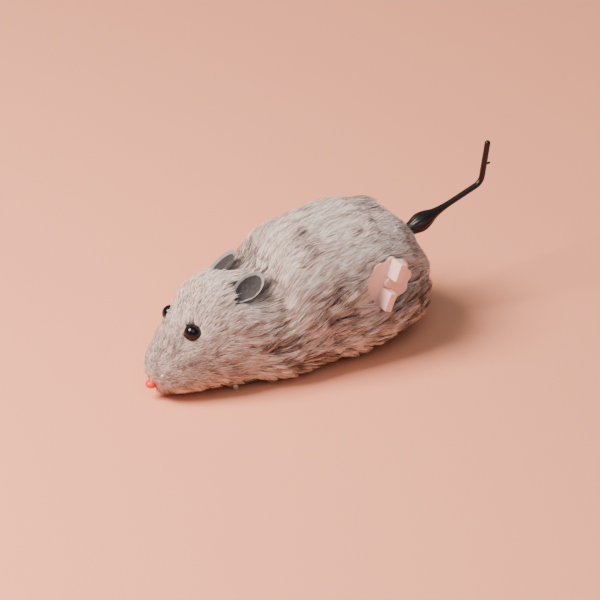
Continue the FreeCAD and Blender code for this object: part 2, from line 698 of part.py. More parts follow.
def great_wheel():
    """The first wheel, loose on the arbor, with the pegs that carry the click and its spring."""
    disc = gear(GREAT_TEETH, KEY_CENTRE, GREAT_X, 0.0)
    pegs = [
        rod(CLICK_PEG_RADIUS, (GREAT_X[1], RATCHET_X[1]), from_arbor(CLICK_PIVOT)),
        rod(SPRING_PEG_RADIUS, (GREAT_X[1], RATCHET_X[1]), from_arbor(CLICK_SPRING_PEG)),
    ]
    disc = fuse_all([disc] + pegs)
    return disc.cut(rod(ARBOR_RADIUS + RUNNING_FIT, GREAT_X, KEY_CENTRE))


def click():
    """The pawl whose nose stops against a ratchet tooth."""
    body = plate([from_arbor(p) for p in CLICK_ARM], CLICK_X)
    body = body.fuse(rod(CLICK_BOSS_RADIUS, CLICK_X, from_arbor(CLICK_PIVOT))).removeSplitter()
    return body.cut(rod(CLICK_PEG_RADIUS + RUNNING_FIT, CLICK_X, from_arbor(CLICK_PIVOT)))


def click_spring():
    """The thin leaf that keeps the click on the ratchet."""
    eye = rod(SPRING_EYE_RADIUS, CLICK_X, from_arbor(CLICK_SPRING_PEG))
    body = fuse_all([plate([from_arbor(p) for p in CLICK_LEAF], CLICK_X), eye])
    return body.cut(rod(SPRING_PEG_RADIUS, CLICK_X, from_arbor(CLICK_SPRING_PEG)))


def second_wheel():
    """The second wheel, its long sleeve and the pinion that the great wheel drives."""
    phase = meshing_phase(0.0, GREAT_TEETH, KEY_CENTRE, PINION_TEETH, SECOND_CENTRE)
    pieces = [
        gear(SECOND_TEETH, SECOND_CENTRE, SLOW_GEAR_X, SECOND_WHEEL_PHASE),
        rod(SLEEVE_RADIUS, (SLOW_GEAR_X[1], GREAT_X[0]), SECOND_CENTRE),
        gear(PINION_TEETH, SECOND_CENTRE, (GREAT_X[0] - 0.1, GREAT_X[1] + 0.2), phase),
    ]
    return fuse_all(pieces).cut(rod(PIN_RADIUS, (-10, 10), SECOND_CENTRE))


def second_arbor():
    """The steel pin of the second wheel."""
    return rod(PIN_RADIUS, (0.1 - CASE_HALF_WIDTH, CASE_HALF_WIDTH - 0.1), SECOND_CENTRE)


def driven_pinion(centre):
    """A ten-leaf pinion in mesh with the second wheel."""
    phase = meshing_phase(SECOND_WHEEL_PHASE, SECOND_TEETH, SECOND_CENTRE, PINION_TEETH, centre)
    return gear(PINION_TEETH, centre, (SLOW_GEAR_X[0] - 0.15, SLOW_GEAR_X[1] + 0.15), phase)


def crown_wheel():
    """The crown wheel, its hub and its pinion, moulded in one."""
    teeth = []
    for number in range(CROWN_TEETH):
        tooth = crown_tooth()
        tooth.rotate(Vector(0, 0, 0), Vector(1, 0, 0), TAIL_SLOPE + 360.0 * number / CROWN_TEETH)
        tooth.translate(Vector(0, *CROWN_CENTRE))
        teeth.append(tooth)
    body = fuse_all([
        driven_pinion(CROWN_CENTRE),
        rod(1.1, (SLOW_GEAR_X[1], -0.7), CROWN_CENTRE),
        rod(CROWN_RADIUS + 0.4, CROWN_DISC_X, CROWN_CENTRE),
    ] + teeth)
    return body.cut(rod(CROWN_PIN_RADIUS, (-10, 10), CROWN_CENTRE))


def crown_arbor():
    """The steel pin of the crown wheel."""
    return rod(CROWN_PIN_RADIUS, (0.1 - CASE_HALF_WIDTH, MID_PLATE_X[1] - 0.1), CROWN_CENTRE)


def axle_pinion():
    """The pinion pressed on the driving axle."""
    return driven_pinion(AXLE_CENTRE).cut(rod(AXLE_RADIUS, (-10, 10), AXLE_CENTRE))


def drive_axle():
    """The steel axle through both wheels."""
    reach = WHEEL_INNER_X + WHEEL_WIDTH
    return rod(AXLE_RADIUS, (-reach, reach), AXLE_CENTRE)


def wheel():
    """The left wheel's centre: rim, thin web and hub."""
    x_range = (WHEEL_INNER_X, WHEEL_INNER_X + WHEEL_WIDTH)
    hub = rod(WHEEL_HUB_RADIUS, x_range, AXLE_CENTRE)
    dish_x = (x_range[1] - WHEEL_DISH, x_range[1])
    dish = tube(WHEEL_HUB_RADIUS - WHEEL_DISH, WHEEL_BOSS_RADIUS, dish_x, AXLE_CENTRE)
    hub = hub.cut(dish)
    return hub.cut(rod(AXLE_RADIUS, x_range, AXLE_CENTRE))


def tyre():
    """The left tyre: a soft band with rounded shoulders."""
    x_range = (WHEEL_INNER_X, WHEEL_INNER_X + WHEEL_WIDTH)
    band = rod(WHEEL_RADIUS, x_range, AXLE_CENTRE)
    shoulders = [e for e in band.Edges if isinstance(e.Curve, Part.Circle)]
    band = band.makeFillet(TYRE_ROUNDING, shoulders)
    return band.cut(rod(WHEEL_HUB_RADIUS, x_range, AXLE_CENTRE))


# ---- Key and tail ----
def key_lug(side):
    """One half of the grip: a block with sloping sides, thinner at its outer end."""
    root_x = KEY_DISC_INNER_X + KEY_DISC_THICKNESS
    tip_x = root_x + KEY_LUG_HEIGHT
    low, high = sorted((side * KEY_GAP / 2, side * (KEY_DISC_RADIUS - KEY_LUG_INSET)))
    section = [
        Vector(root_x, -KEY_LUG_WIDTH / 2, low),
        Vector(tip_x, -KEY_LUG_TIP_WIDTH / 2, low),
        Vector(tip_x, KEY_LUG_TIP_WIDTH / 2, low),
        Vector(root_x, KEY_LUG_WIDTH / 2, low),
    ]
    lug = Part.Face(Part.makePolygon(section + section[:1])).extrude(Vector(0, 0, high - low))
    edges = [e for e in lug.Edges if abs(e.tangentAt(e.FirstParameter).x) > 0.9]
    lug = lug.makeFillet(KEY_LUG_ROUNDING, edges)
    lug.rotate(Vector(0, 0, 0), Vector(1, 0, 0), -KEY_TILT)
    lug.translate(Vector(0, *KEY_CENTRE))
    return lug


def winding_key():
    """The key: a scalloped disc, a long hub and a grip that is split in two."""
    disc_x = (KEY_DISC_INNER_X, KEY_DISC_INNER_X + KEY_DISC_THICKNESS)
    disc = rod(KEY_DISC_RADIUS - KEY_CORE_INSET, disc_x, KEY_CENTRE)
    reach = KEY_DISC_RADIUS - KEY_LOBE_RADIUS
    lobes = [rod(KEY_LOBE_RADIUS, disc_x, polar(reach, 360.0 * n / KEY_LOBES, KEY_CENTRE))
             for n in range(KEY_LOBES)]
    hub = rod(KEY_HUB_RADIUS, (CASE_HALF_WIDTH + 0.3, disc_x[0]), KEY_CENTRE)
    knob = rod(KEY_KNOB_RADIUS, (disc_x[1], disc_x[1] + KEY_KNOB_HEIGHT), KEY_CENTRE)
    body = fuse_all([disc, hub, knob, key_lug(-1), key_lug(1)] + lobes)
    return body.cut(rod(ARBOR_RADIUS, (0, KEY_DISC_INNER_X - 1.0), KEY_CENTRE))


def tail_spindle():
    """The steel spindle from the tail pinion into the tail."""
    return tail_rod(PIN_RADIUS, CROWN_RADIUS - 0.5, TAIL_SPIGOT_END)


def tail_pinion():
    """The small pinion on the spindle that the crown wheel drives."""
    pinion = plate(gear_outline(TAIL_PINION_TEETH, (0.0, 0.0), 180.0 / TAIL_PINION_TEETH), (0, 0.8))
    across = Vector(1, 0, 0)
    turn = FreeCAD.Rotation(TAIL_AXIS, across, TAIL_AXIS.cross(across), "XYZ")
    pinion.Placement = FreeCAD.Placement(on_tail(CROWN_RADIUS - 0.4), turn)
    return pinion.cut(tail_rod(PIN_RADIUS, 0.0, 10.0))


def tail():
    """The moulded tail: a bulb on the spindle, a straight rod and a bent-up end."""
    spline = Part.BSplineCurve()
    spline.interpolate(Points=[Vector(r, 0, s) for s, r in TAIL_PROFILE[1:]])
    (start, spigot), (shoulder, shoulder_radius) = TAIL_PROFILE[:2]
    end = TAIL_PROFILE[-1][0]
    wire = Part.Wire([
        Part.makeLine(Vector(0, 0, start), Vector(spigot, 0, start)),
        Part.makeLine(Vector(spigot, 0, start), Vector(shoulder_radius, 0, shoulder)),
        spline.toShape(),
        Part.makeLine(Vector(TAIL_ROD_RADIUS, 0, end), Vector(0, 0, end)),
        Part.makeLine(Vector(0, 0, end), Vector(0, 0, start)),
    ])
    bulb = Part.Face(wire).revolve(Vector(0, 0, 0), Vector(0, 0, 1), 360)
    turn = FreeCAD.Rotation(Vector(0, 0, 1), TAIL_AXIS)
    bulb.Placement = FreeCAD.Placement(on_tail(0.0), turn)
    body = bulb.fuse(tail_bent_rod(end))
    return body.cut(tail_rod(PIN_RADIUS, 0.0, TAIL_SPIGOT_END))


def tail_bent_rod(start):
    """The rod behind the bulb, with its rounded bend, round end and moulding nib."""
    bend_run = (TAIL_BEND_Y - CROWN_CENTRE[0]) / TAIL_WAY[0]
    corner, tip = on_tail(bend_run), Vector(0, *TAIL_TIP)
    upward = (tip - corner).normalize()
    turn = TAIL_AXIS.getAngle(upward)
    cut_back = TAIL_BEND_RADIUS * math.tan(turn / 2)
    first, last = corner - TAIL_AXIS * cut_back, corner + upward * cut_back
    inward = (upward - TAIL_AXIS).normalize()
    middle = corner + inward * (TAIL_BEND_RADIUS / math.cos(turn / 2) - TAIL_BEND_RADIUS)
    path = Part.Wire([
        Part.makeLine(on_tail(start - 0.5), first),
        Part.Arc(first, middle, last).toShape(),
        Part.makeLine(last, tip),
    ])
    ring = Part.Wire([Part.makeCircle(TAIL_ROD_RADIUS, on_tail(start - 0.5), TAIL_AXIS)])
    pipe = path.makePipeShell([ring], True, True)
    nib = Part.makeCylinder(NIB_RADIUS, NIB_LENGTH, corner + upward * NIB_RISE, Vector(0, 1, 0))
    return fuse_all([pipe, Part.makeSphere(TAIL_ROD_RADIUS, tip), nib])


# ---- Writing the nodes ----
def export(name, *shapes):
    """One STEP file for a node, in the toy's own frame."""
    moved = [shape.translated(Vector(0, -MID_LENGTH, 0)) for shape in shapes]
    whole = moved[0] if len(moved) == 1 else Part.makeCompound(moved)
    whole.exportStep("parts/" + name + ".step")


def main():
    """Make every node of the mouse."""
    os.makedirs("parts", exist_ok=True)
    form = fur_form(0.0)
    ear = ear_shell()
    eye, knot, nose = eye_bead(), whisker_knot(), nose_bead()
    trim = [eye, mirrored(eye), knot, mirrored(knot), nose]
    nodes = {
        "fur_cover": [fur_cover(trim)],
        "stuffing_head": [stuffing_head(trim)],
        "stuffing_back": [stuffing_back()],
        "ear_left": [largest(ear.cut(form))],
        "ear_right": [largest(mirrored(ear).cut(form))],
        "eye_left": [eye],
        "eye_right": [mirrored(eye)],
        "nose_bead": [nose],
        "whisker_knots": [knot, mirrored(knot)],
        "base_pan": [base_pan()],
        "glide_feet": [glide_foot(1), glide_foot(-1)],
        "pan_screws": [pan_screw(y) for y in PAN_SCREWS_Y],
        "case_left": [case_left()],
        "case_right": [case_right()],
        "case_screws": [case_screw(at) for at in CASE_SCREWS],
        "mid_plate": [mid_plate()],
        "tail_bush": [tail_bush()],
        "mainspring": [mainspring()],
        "winding_key": [winding_key()],
        "winding_arbor": [winding_arbor()],
        "ratchet_wheel": [ratchet_wheel()],
        "great_wheel": [great_wheel()],
        "click": [click()],
        "click_spring": [click_spring()],
        "second_wheel": [second_wheel()],
        "second_arbor": [second_arbor()],
        "crown_wheel": [crown_wheel()],
        "crown_arbor": [crown_arbor()],
        "drive_axle": [drive_axle()],
        "axle_pinion": [axle_pinion()],
        "wheel_left": [wheel()],
        "wheel_right": [mirrored(wheel())],
        "tyre_left": [tyre()],
        "tyre_right": [mirrored(tyre())],
        "tail": [tail()],
        "tail_spindle": [tail_spindle()],
        "tail_pinion": [tail_pinion()],
    }
    for name, shapes in nodes.items():
        export(name, *shapes)


main()
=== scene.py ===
"""Looks of the clockwork plush mouse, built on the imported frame. Sizes here are millimetres."""

import json
import math

import bpy
import bmesh
import numpy as np
from mathutils import Matrix, Vector


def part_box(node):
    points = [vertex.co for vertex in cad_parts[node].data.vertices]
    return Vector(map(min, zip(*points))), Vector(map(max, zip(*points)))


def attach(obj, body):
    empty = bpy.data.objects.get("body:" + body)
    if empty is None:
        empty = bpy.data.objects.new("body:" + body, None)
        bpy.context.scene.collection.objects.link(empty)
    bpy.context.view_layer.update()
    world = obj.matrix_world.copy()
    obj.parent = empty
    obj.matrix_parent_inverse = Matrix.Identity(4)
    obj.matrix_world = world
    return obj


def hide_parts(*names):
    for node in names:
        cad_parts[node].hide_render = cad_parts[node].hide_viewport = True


MM = 0.001
SEED = 20

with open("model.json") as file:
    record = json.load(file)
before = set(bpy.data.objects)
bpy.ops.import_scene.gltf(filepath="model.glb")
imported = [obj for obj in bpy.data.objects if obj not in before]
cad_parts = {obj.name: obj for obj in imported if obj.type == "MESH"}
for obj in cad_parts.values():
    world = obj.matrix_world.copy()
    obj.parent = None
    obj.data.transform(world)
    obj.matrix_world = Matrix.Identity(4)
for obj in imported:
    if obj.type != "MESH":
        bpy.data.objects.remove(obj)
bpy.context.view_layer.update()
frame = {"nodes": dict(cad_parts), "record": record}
joints = {joint["name"]: joint for joint in frame["record"]["behaviour"]["joints"]}


def node_box(name):
    """A CAD node's lowest and highest corners, in millimetres."""
    low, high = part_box(name)
    return np.array(low) / MM, np.array(high) / MM


def joint_place(name):
    """A joint's point in millimetres and its unit axis."""
    joint = joints[name]
    axis = np.array(joint["axis"], float)
    return np.array(joint["pos_m"], float) / MM, axis / np.linalg.norm(axis)


# ---- Camera, floor and light ----
VIEW_AZIMUTH = 58.0
VIEW_ELEVATION = 32.5
VIEW_DISTANCE = 1800.0
VIEW_WIDTH = 160.0           # what the frame spans at the mouse
VIEW_TARGET = (0.0, -6.1, 15.3)
SENSOR_WIDTH = 36.0
CLIP_START = 0.01            # metres
FLOOR_REACH = 3.0            # metres to each side
FLOOR_LIGHT = (0.97, 0.40, 0.235)
FLOOR_DARK = (0.955, 0.39, 0.228)
LIGHT_TARGET = (0, 0, 10)
MAIN_PLACE = (-75, -345, 465)
MAIN_SIZE = 270
MAIN_POWER = 8.5
MAIN_COLOUR = (1.0, 0.81, 0.735)
FILL_BACK, FILL_RIGHT, FILL_UP = 420, 60, 260    # along the camera's axes, and straight up
FILL_SIZE = 380
FILL_POWER = 0.8
FILL_COLOUR = (0.90, 0.95, 1.0)
SURROUND_COLOUR = (0.84, 0.93, 1.0)
SURROUND_STRENGTH = 0.23


def view_axes():
    """Right, up and back vectors of the camera."""
    a, e = math.radians(VIEW_AZIMUTH), math.radians(VIEW_ELEVATION)
    back = Vector((math.sin(a) * math.cos(e), -math.cos(a) * math.cos(e), math.sin(e)))
    right = Vector((math.cos(a), math.sin(a), 0.0))
    return right, back.cross(right), back


def make_camera():
    """The camera: far off on the key's side, ahead and above, behind a long lens."""
    right, up, back = view_axes()
    data = bpy.data.cameras.new("camera")
    data.sensor_width = SENSOR_WIDTH
    data.lens = SENSOR_WIDTH * VIEW_DISTANCE / VIEW_WIDTH
    data.clip_start = CLIP_START
    camera = bpy.data.objects.new("camera", data)
    bpy.context.collection.objects.link(camera)
    place = Matrix((right, up, back)).transposed().to_4x4()
    place.translation = (Vector(VIEW_TARGET) + back * VIEW_DISTANCE) * MM
    camera.matrix_world = place
    bpy.context.scene.camera = camera


def area_light(name, place, size, power, colour):
    """A soft square light that points at the mouse."""
    data = bpy.data.lights.new(name, "AREA")
    data.size = size * MM
    data.energy = power
    data.color = colour
    light = bpy.data.objects.new(name, data)
    bpy.context.collection.objects.link(light)
    light.location = Vector(place) * MM
    way = Vector(LIGHT_TARGET) - Vector(place)
    light.rotation_euler = way.to_track_quat("-Z", "Y").to_euler()


def make_floor():
    """A plain pale floor."""
    corners = [(x * FLOOR_REACH, y * FLOOR_REACH, 0) for x, y in ((-1, -1), (1, -1), (1, 1), (-1, 1))]
    mesh = bpy.data.meshes.new("floor")
    mesh.from_pydata(corners, [], [(0, 1, 2, 3)])
    mesh.materials.append(noisy_material("floor_paper", FLOOR_LIGHT, FLOOR_DARK, 0.6, 0.9))
    floor = bpy.data.objects.new("floor", mesh)
    bpy.context.collection.objects.link(floor)


def make_lights():
    """The soft main light ahead of the nose, a weak fill and a dim surround."""
    right, _, back = view_axes()
    fill_place = back * FILL_BACK + right * FILL_RIGHT + Vector((0, 0, FILL_UP))
    area_light("main_light", MAIN_PLACE, MAIN_SIZE, MAIN_POWER, MAIN_COLOUR)
    area_light("fill_light", fill_place, FILL_SIZE, FILL_POWER, FILL_COLOUR)
    world = bpy.data.worlds.new("surround")
    world.use_nodes = True
    background = world.node_tree.nodes["Background"]
    background.inputs["Color"].default_value = (*SURROUND_COLOUR, 1)
    background.inputs["Strength"].default_value = SURROUND_STRENGTH
    bpy.context.scene.world = world


# ---- Materials ----
NOISE_SPAN = 10 * MM         # a noise's scale counts its cells in this length
COLOUR_DETAIL = 5.0
RELIEF_DETAIL = 3.0
ROUGHNESS_SPREAD = 0.06
LEAST_ROUGHNESS = 0.02


def noise_node(tree, place, scale, detail):
    """A noise texture in the piece's own coordinates."""
    noise = tree.nodes.new("ShaderNodeTexNoise")
    noise.inputs["Scale"].default_value = scale / NOISE_SPAN
    noise.inputs["Detail"].default_value = detail
    tree.links.new(place.outputs["Object"], noise.inputs["Vector"])
    return noise


def add_relief(tree, shader, place, depth, scale):
    """Fine unevenness of the surface."""
    fine = noise_node(tree, place, scale, RELIEF_DETAIL)
    relief = tree.nodes.new("ShaderNodeBump")
    relief.inputs["Strength"].default_value = 1.0
    relief.inputs["Distance"].default_value = depth * MM
    tree.links.new(fine.outputs["Fac"], relief.inputs["Height"])
    tree.links.new(relief.outputs["Normal"], shader.inputs["Normal"])


def noisy_material(name, light, dark, scale, roughness, bump=0.0, bump_scale=60.0, **sockets):
    """A Principled material whose colour, roughness and surface vary with procedural noise."""
    material = bpy.data.materials.new(name)
    material.use_nodes = True
    tree = material.node_tree
    shader = tree.nodes["Principled BSDF"]
    place = tree.nodes.new("ShaderNodeTexCoord")
    noise = noise_node(tree, place, scale, COLOUR_DETAIL)
    colour = tree.nodes.new("ShaderNodeMix")
    colour.data_type = "RGBA"
    colour.inputs["A"].default_value = (*dark, 1)
    colour.inputs["B"].default_value = (*light, 1)
    tree.links.new(noise.outputs["Fac"], colour.inputs["Factor"])
    tree.links.new(colour.outputs["Result"], shader.inputs["Base Color"])
    rough = tree.nodes.new("ShaderNodeMapRange")
    rough.inputs["To Min"].default_value = max(LEAST_ROUGHNESS, roughness - ROUGHNESS_SPREAD)
    rough.inputs["To Max"].default_value = min(1.0, roughness + ROUGHNESS_SPREAD)
    tree.links.new(noise.outputs["Fac"], rough.inputs["Value"])
    tree.links.new(rough.outputs["Result"], shader.inputs["Roughness"])
    if bump:
        add_relief(tree, shader, place, bump, bump_scale)
    for socket, value in sockets.items():
        shader.inputs[socket.replace("_", " ")].default_value = value
    return material


def dress(names, material):
    """Gives CAD nodes their material."""
    for name in names:
        for slot in frame["nodes"][name].material_slots:
            slot.material = material


def new_piece(name, points, faces, body):
    """A mesh object from millimetre points, riding on a body."""
    mesh = bpy.data.meshes.new(name)
    mesh.from_pydata([tuple(p) for p in np.asarray(points) * MM], [], [tuple(f) for f in faces])
    mesh.shade_smooth()
    piece = bpy.data.objects.new(name, mesh)
    bpy.context.collection.objects.link(piece)
    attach(piece, body)
    return piece


def weld(piece):
    """Joins points that lie on one another and turns the faces outwards."""
    shape = bmesh.new()
    shape.from_mesh(piece.data)
    bmesh.ops.remove_doubles(shape, verts=shape.verts, dist=0.01 * MM)
    bmesh.ops.recalc_face_normals(shape, faces=shape.faces)
    shape.to_mesh(piece.data)
    shape.free()


# ---- Small sums ----
def ease(value, start, end):
    """A smooth step from 0 at start to 1 at end."""
    share = np.clip((value - start) / (end - start), 0.0, 1.0)
    return share * share * (3 - 2 * share)


def bump_at(value, centre, spread):
    """A bell curve."""
    return np.exp(-((value - centre) / spread) ** 2)


def unit_rows(values):
    """Rows scaled to length 1."""
    return values / np.maximum(np.linalg.norm(values, axis=-1, keepdims=True), 1e-9)


def wave_noise(points, scale, seed):
    """Smooth noise from a few turned waves, about -1 to 1."""
    random = np.random.default_rng(seed)
    total = np.zeros(len(points))
    for _ in range(9):
        way = random.normal(size=3)
        way *= random.uniform(0.6, 1.5) / (np.linalg.norm(way) * scale)
        total += np.sin(points @ way * 2 * math.pi + random.uniform(0, 2 * math.pi))
    return total / 3.0


# ---- The form of the plush ----
# One row for each place along the fur: distance behind the muzzle's tip, top, bottom, half
# width, and the power that squares off the lower half of the section.
STATIONS = np.array((
    (-0.7, 9.0, 7.6, 0.5, 2.0),
    (-0.6, 10.6, 6.2, 1.8, 2.0),
    (0.4, 13.0, 4.0, 4.0, 2.0),
    (2.5, 15.6, 2.4, 6.0, 2.0),
    (6.0, 19.4, 1.7, 8.2, 2.2),
    (10.5, 24.0, 1.5, 10.0, 2.4),
    (15.5, 30.0, 1.5, 11.8, 2.6),
    (19.5, 31.4, 1.5, 13.0, 2.8),
    (24.0, 30.8, 1.4, 14.0, 3.0),
    (29.0, 29.7, 1.3, 15.0, 3.4),
    (32.5, 31.2, 1.3, 15.8, 3.6),
    (37.0, 36.2, 1.2, 16.8, 3.6),
    (43.0, 38.4, 1.2, 17.6, 3.4),
    (50.0, 39.5, 1.2, 18.6, 3.1),
    (61.0, 40.0, 1.2, 19.4, 2.7),
    (70.0, 37.8, 1.4, 17.8, 2.3),
    (77.0, 31.8, 2.0, 14.4, 2.1),
    (81.5, 25.2, 4.0, 10.2, 2.0),
    (84.0, 20.0, 8.5, 5.0, 2.0),
    (84.5, 16.0, 13.0, 1.0, 2.0),
))
STATION_ROUNDING = 2.2       # reach of the rounding between stations
STATION_SAMPLES = 1200
TOP_POWER = 2.2
WIDEST_SHARE = 0.38          # height of the widest place, as a share of the section's
MUZZLE_Y = node_box("fur_cover")[0][1] - STATIONS[1, 0]
ROWS, COLUMNS = 260, 200
END_CROWDING = 0.06          # how much closer the grid's rows stand at both ends

KEY_CENTRE, _ = joint_place("key_turn")
TAIL_CENTRE, TAIL_AXIS = joint_place("tail_spin")
KEY_LOW, KEY_HIGH = node_box("winding_key")
KEY_ROOM = (KEY_HIGH[2] - KEY_LOW[2]) / 2 + 0.35
KEY_POCKET = 5.15            # depth of the cloth's pocket, from the tips of the key's lugs
KEY_HAIR_DEPTH = 5.6         # hairs keep clear of the key down to here
KEY_OVERLAP = 1.0            # of the hairs that lie over the disc's lower front edge
PAN_LOW, PAN_HIGH = node_box("base_pan")
PAN_OPENING_TOP = 8.0        # the pan's opening only cuts the fur below this height
WHEEL_ROOM = 0.9             # round each tyre, clear of cloth and hairs
HUB_OPENING = 3.2            # radius of the hole in the cloth for the key's hub
TAIL_OPENING = 2.3           # and for the tail's spindle
TAIL_START = 5.0             # run along the tail's axis past which the openings count
TAIL_HAIR_ROOM = 2.1         # radius that hairs keep out of round the spindle
BULB_HAIR_ROOM = 3.0         # and round the bulb
BULB_START = 16.0            # run along the tail's axis
EYE_RADIUS = 2.25
NOSE_ROOM = 2.4              # to each side of the middle, round the nose bead
NOSE_SHOWN = 2.5             # length of the bead that stands out of the muzzle

EAR_AXIS = np.array((0.06, 0.86, 0.51))
EAR_OPENING = np.array((0.38, -0.46, 0.80))
EAR_LENGTH = 11.2
EAR_WIDTH = 7.0
EAR_DEPTH = 2.3
EAR_FELT = 0.55
EAR_ROOT = (6.6, -31.2, 27.2)
EAR_SEWN = 0.6               # length of the root that is sewn in
EAR_RINGS, EAR_SPOKES = 22, 72
EAR_SHADED_SHARE = 0.82            # share of the hollow given the darker felt, painted shade in the cup
EAR_CLEAR = 1.3              # height over the ear's rim that hairs keep out of
EAR_PRESS = 3.4              # most that the cloth is pressed down under an ear


def station_values(distance):
    """Top, bottom, half width and power at each distance, rounded between the stations."""
    fine = np.linspace(STATIONS[0, 0], STATIONS[-1, 0], STATION_SAMPLES)
    reach = int(STATION_ROUNDING / (fine[1] - fine[0]))
    kernel = np.hanning(2 * reach + 1)
    kernel /= kernel.sum()
    keep = ease(np.minimum(fine - fine[0], fine[-1] - fine), 0.0, 3.0)
    values = []
    for column in range(1, 5):
        line = np.interp(fine, STATIONS[:, 0], STATIONS[:, column])
        soft = np.convolve(np.pad(line, reach, mode="edge"), kernel, "valid")
        values.append(np.interp(distance, fine, line * (1 - keep) + soft * keep))
    return values


def plush_grid():
    """The outer form of the fur as a grid of points, with its distance and turn for each."""
    share = np.linspace(0, 1, ROWS)
    length = STATIONS[-1, 0] - STATIONS[0, 0]
    distance = STATIONS[0, 0] + length * (share - END_CROWDING * np.sin(2 * math.pi * share))
    turn = np.linspace(0, 2 * math.pi, COLUMNS, endpoint=False)
    top, bottom, half, power = station_values(distance)
    widest = bottom + WIDEST_SHARE * (top - bottom)
    cos, sin = np.cos(turn)[None, :], np.sin(turn)[None, :]
    upper = sin >= 0
    shape = np.where(upper, TOP_POWER, power[:, None])
    height = np.where(upper, (top - widest)[:, None], (widest - bottom)[:, None])
    scale = (np.abs(cos) ** shape + np.abs(sin) ** shape) ** (-1 / shape)
    distance = np.broadcast_to(distance[:, None], scale.shape)
    x = half[:, None] * scale * cos
    z = widest[:, None] + height * scale * sin
    points = np.stack([x, MUZZLE_Y + distance, z], axis=-1)
    return points, distance, np.broadcast_to(turn[None, :], scale.shape)


def grid_frames(points):
    """Unit vectors along the body, round it and out of it at each grid point."""
    along = np.gradient(points, axis=0)
    wrapped = np.concatenate([points[:, -1:], points, points[:, :1]], axis=1)
    round_way = (wrapped[:, 2:] - wrapped[:, :-2]) / 2
    return [unit_rows(vector) for vector in (along, round_way, np.cross(along, round_way))]


def mirrored(points):
    """Points moved to the other side of the body."""
    return points * np.array((-1.0, 1.0, 1.0))


def ear_frame():
    """The left ear's long axis, its cross axis, the way its hollow faces, and its middle."""
    axis = EAR_AXIS / np.linalg.norm(EAR_AXIS)
    opening = EAR_OPENING - axis * (EAR_OPENING @ axis)
    opening /= np.linalg.norm(opening)
    middle = np.array(EAR_ROOT) + axis * (EAR_LENGTH / 2 - EAR_SEWN)
    return axis, np.cross(axis, opening), opening, middle


def ear_place(points):
    """How far points lie from the left ear's middle, as a share of its oval and in height."""
    axis, across, opening, middle = ear_frame()
    offset = points - middle
    oval = np.hypot(offset @ axis / (EAR_LENGTH / 2), offset @ across / (EAR_WIDTH / 2))
    return oval, offset @ opening


def eye_place(name):
    """An eye bead's centre: its shank only reaches inwards."""
    low, high = node_box(name)
    x = high[0] - EYE_RADIUS if name.endswith("left") else low[0] + EYE_RADIUS
    return np.array((x, low[1] + EYE_RADIUS, (low[2] + high[2]) / 2))


def key_reach(points):
    """How far points lie from the key's axis."""
    return np.hypot(points[..., 1] - KEY_CENTRE[1], points[..., 2] - KEY_CENTRE[2])


def tail_place(points):
    """The run of points along the tail's axis, and how far they lie from it."""
    from_tail = points - TAIL_CENTRE
    run = from_tail @ TAIL_AXIS
    return run, np.linalg.norm(from_tail - run[..., None] * TAIL_AXIS, axis=-1)


def near_wheels(points):
    """Whether points lie in the room that the driven wheels turn in."""
    inside = np.zeros(points.shape[:-1], bool)
    for name in ("tyre_left", "tyre_right"):
        low, high = node_box(name)
        middle = (low + high) / 2
        off = np.hypot(points[..., 1] - middle[1], points[..., 2] - middle[2])
        beside = np.abs(points[..., 0] - middle[0])
        radius, half_width = (high[2] - low[2]) / 2, (high[0] - low[0]) / 2
        inside |= (off < radius + WHEEL_ROOM) & (beside < half_width + WHEEL_ROOM)
    return inside


# ---- The backing cloth ----
CLOTH_LOWEST = 0.9


def skin_depth(distance):
    """How far the backing cloth lies under the outer form of the fur."""
    return 0.6 + 1.1 * ease(distance, 2.0, 16.0)


def dents(points, distance, turn):
    """Depth of the cloth under the fur: a fold at the neck, a hollow behind it, and soft lumps."""
    flat = points.reshape(-1, 3)
    dent = skin_depth(distance)
    dent = dent + 0.5 * bump_at(distance, 31.0, 2.6) * ease(np.sin(turn), -0.1, 0.7)
    dent = dent + 1.0 * bump_at(distance, 42.0, 5.0) * bump_at(turn, 1.25, 0.35)
    lumps = 0.35 * wave_noise(flat, 14.0, SEED) + 0.18 * wave_noise(flat, 6.0, SEED + 1)
    return dent + lumps.reshape(dent.shape) * ease(distance, 6.0, 20.0)


def round_key(skin):
    """The cloth sunk into a pocket behind the key's disc."""
    inside = (1 - ease(key_reach(skin), KEY_ROOM, KEY_ROOM + 0.8)) * (skin[..., 0] > 0)
    sunk = np.minimum(skin[..., 0], KEY_HIGH[0] - KEY_POCKET)
    skin[..., 0] = skin[..., 0] * (1 - inside) + sunk * inside
    return skin


def under_ear(skin):
    """The cloth pressed down where it would come up into the hollow of the left ear."""
    opening = ear_frame()[2]
    oval, height = ear_place(skin)
    above = height + EAR_DEPTH + EAR_FELT
    press = np.clip(above, 0.0, EAR_PRESS) * (1 - ease(oval, 0.85, 1.3)) * (above < EAR_PRESS + EAR_DEPTH)
    return skin - opening * press[..., None]


def round_nose(skin):
    """The muzzle pressed back round the nose bead."""
    low, high = node_box("nose_bead")
    beside = 1 - ease(np.abs(skin[..., 0]), NOSE_ROOM, NOSE_ROOM + 2.4)
    pressed = beside * (1 - ease(skin[..., 2], high[2] + 0.3, high[2] + 2.3))
    behind = low[1] + NOSE_SHOWN
    skin[..., 1] = skin[..., 1] + np.maximum(behind - skin[..., 1], 0.0) * pressed
    return skin


def make_skin_grid():
    """The backing cloth as a grid of points, with its distance and turn for each."""
    points, distance, turn = plush_grid()
    out = grid_frames(points)[2]
    skin = round_key(points - out * dents(points, distance, turn)[..., None])
    skin = under_ear(skin)
    skin = mirrored(under_ear(mirrored(skin)))
    skin = round_nose(skin)
    skin[..., 2] = np.maximum(skin[..., 2], CLOTH_LOWEST)
    return skin, distance, turn


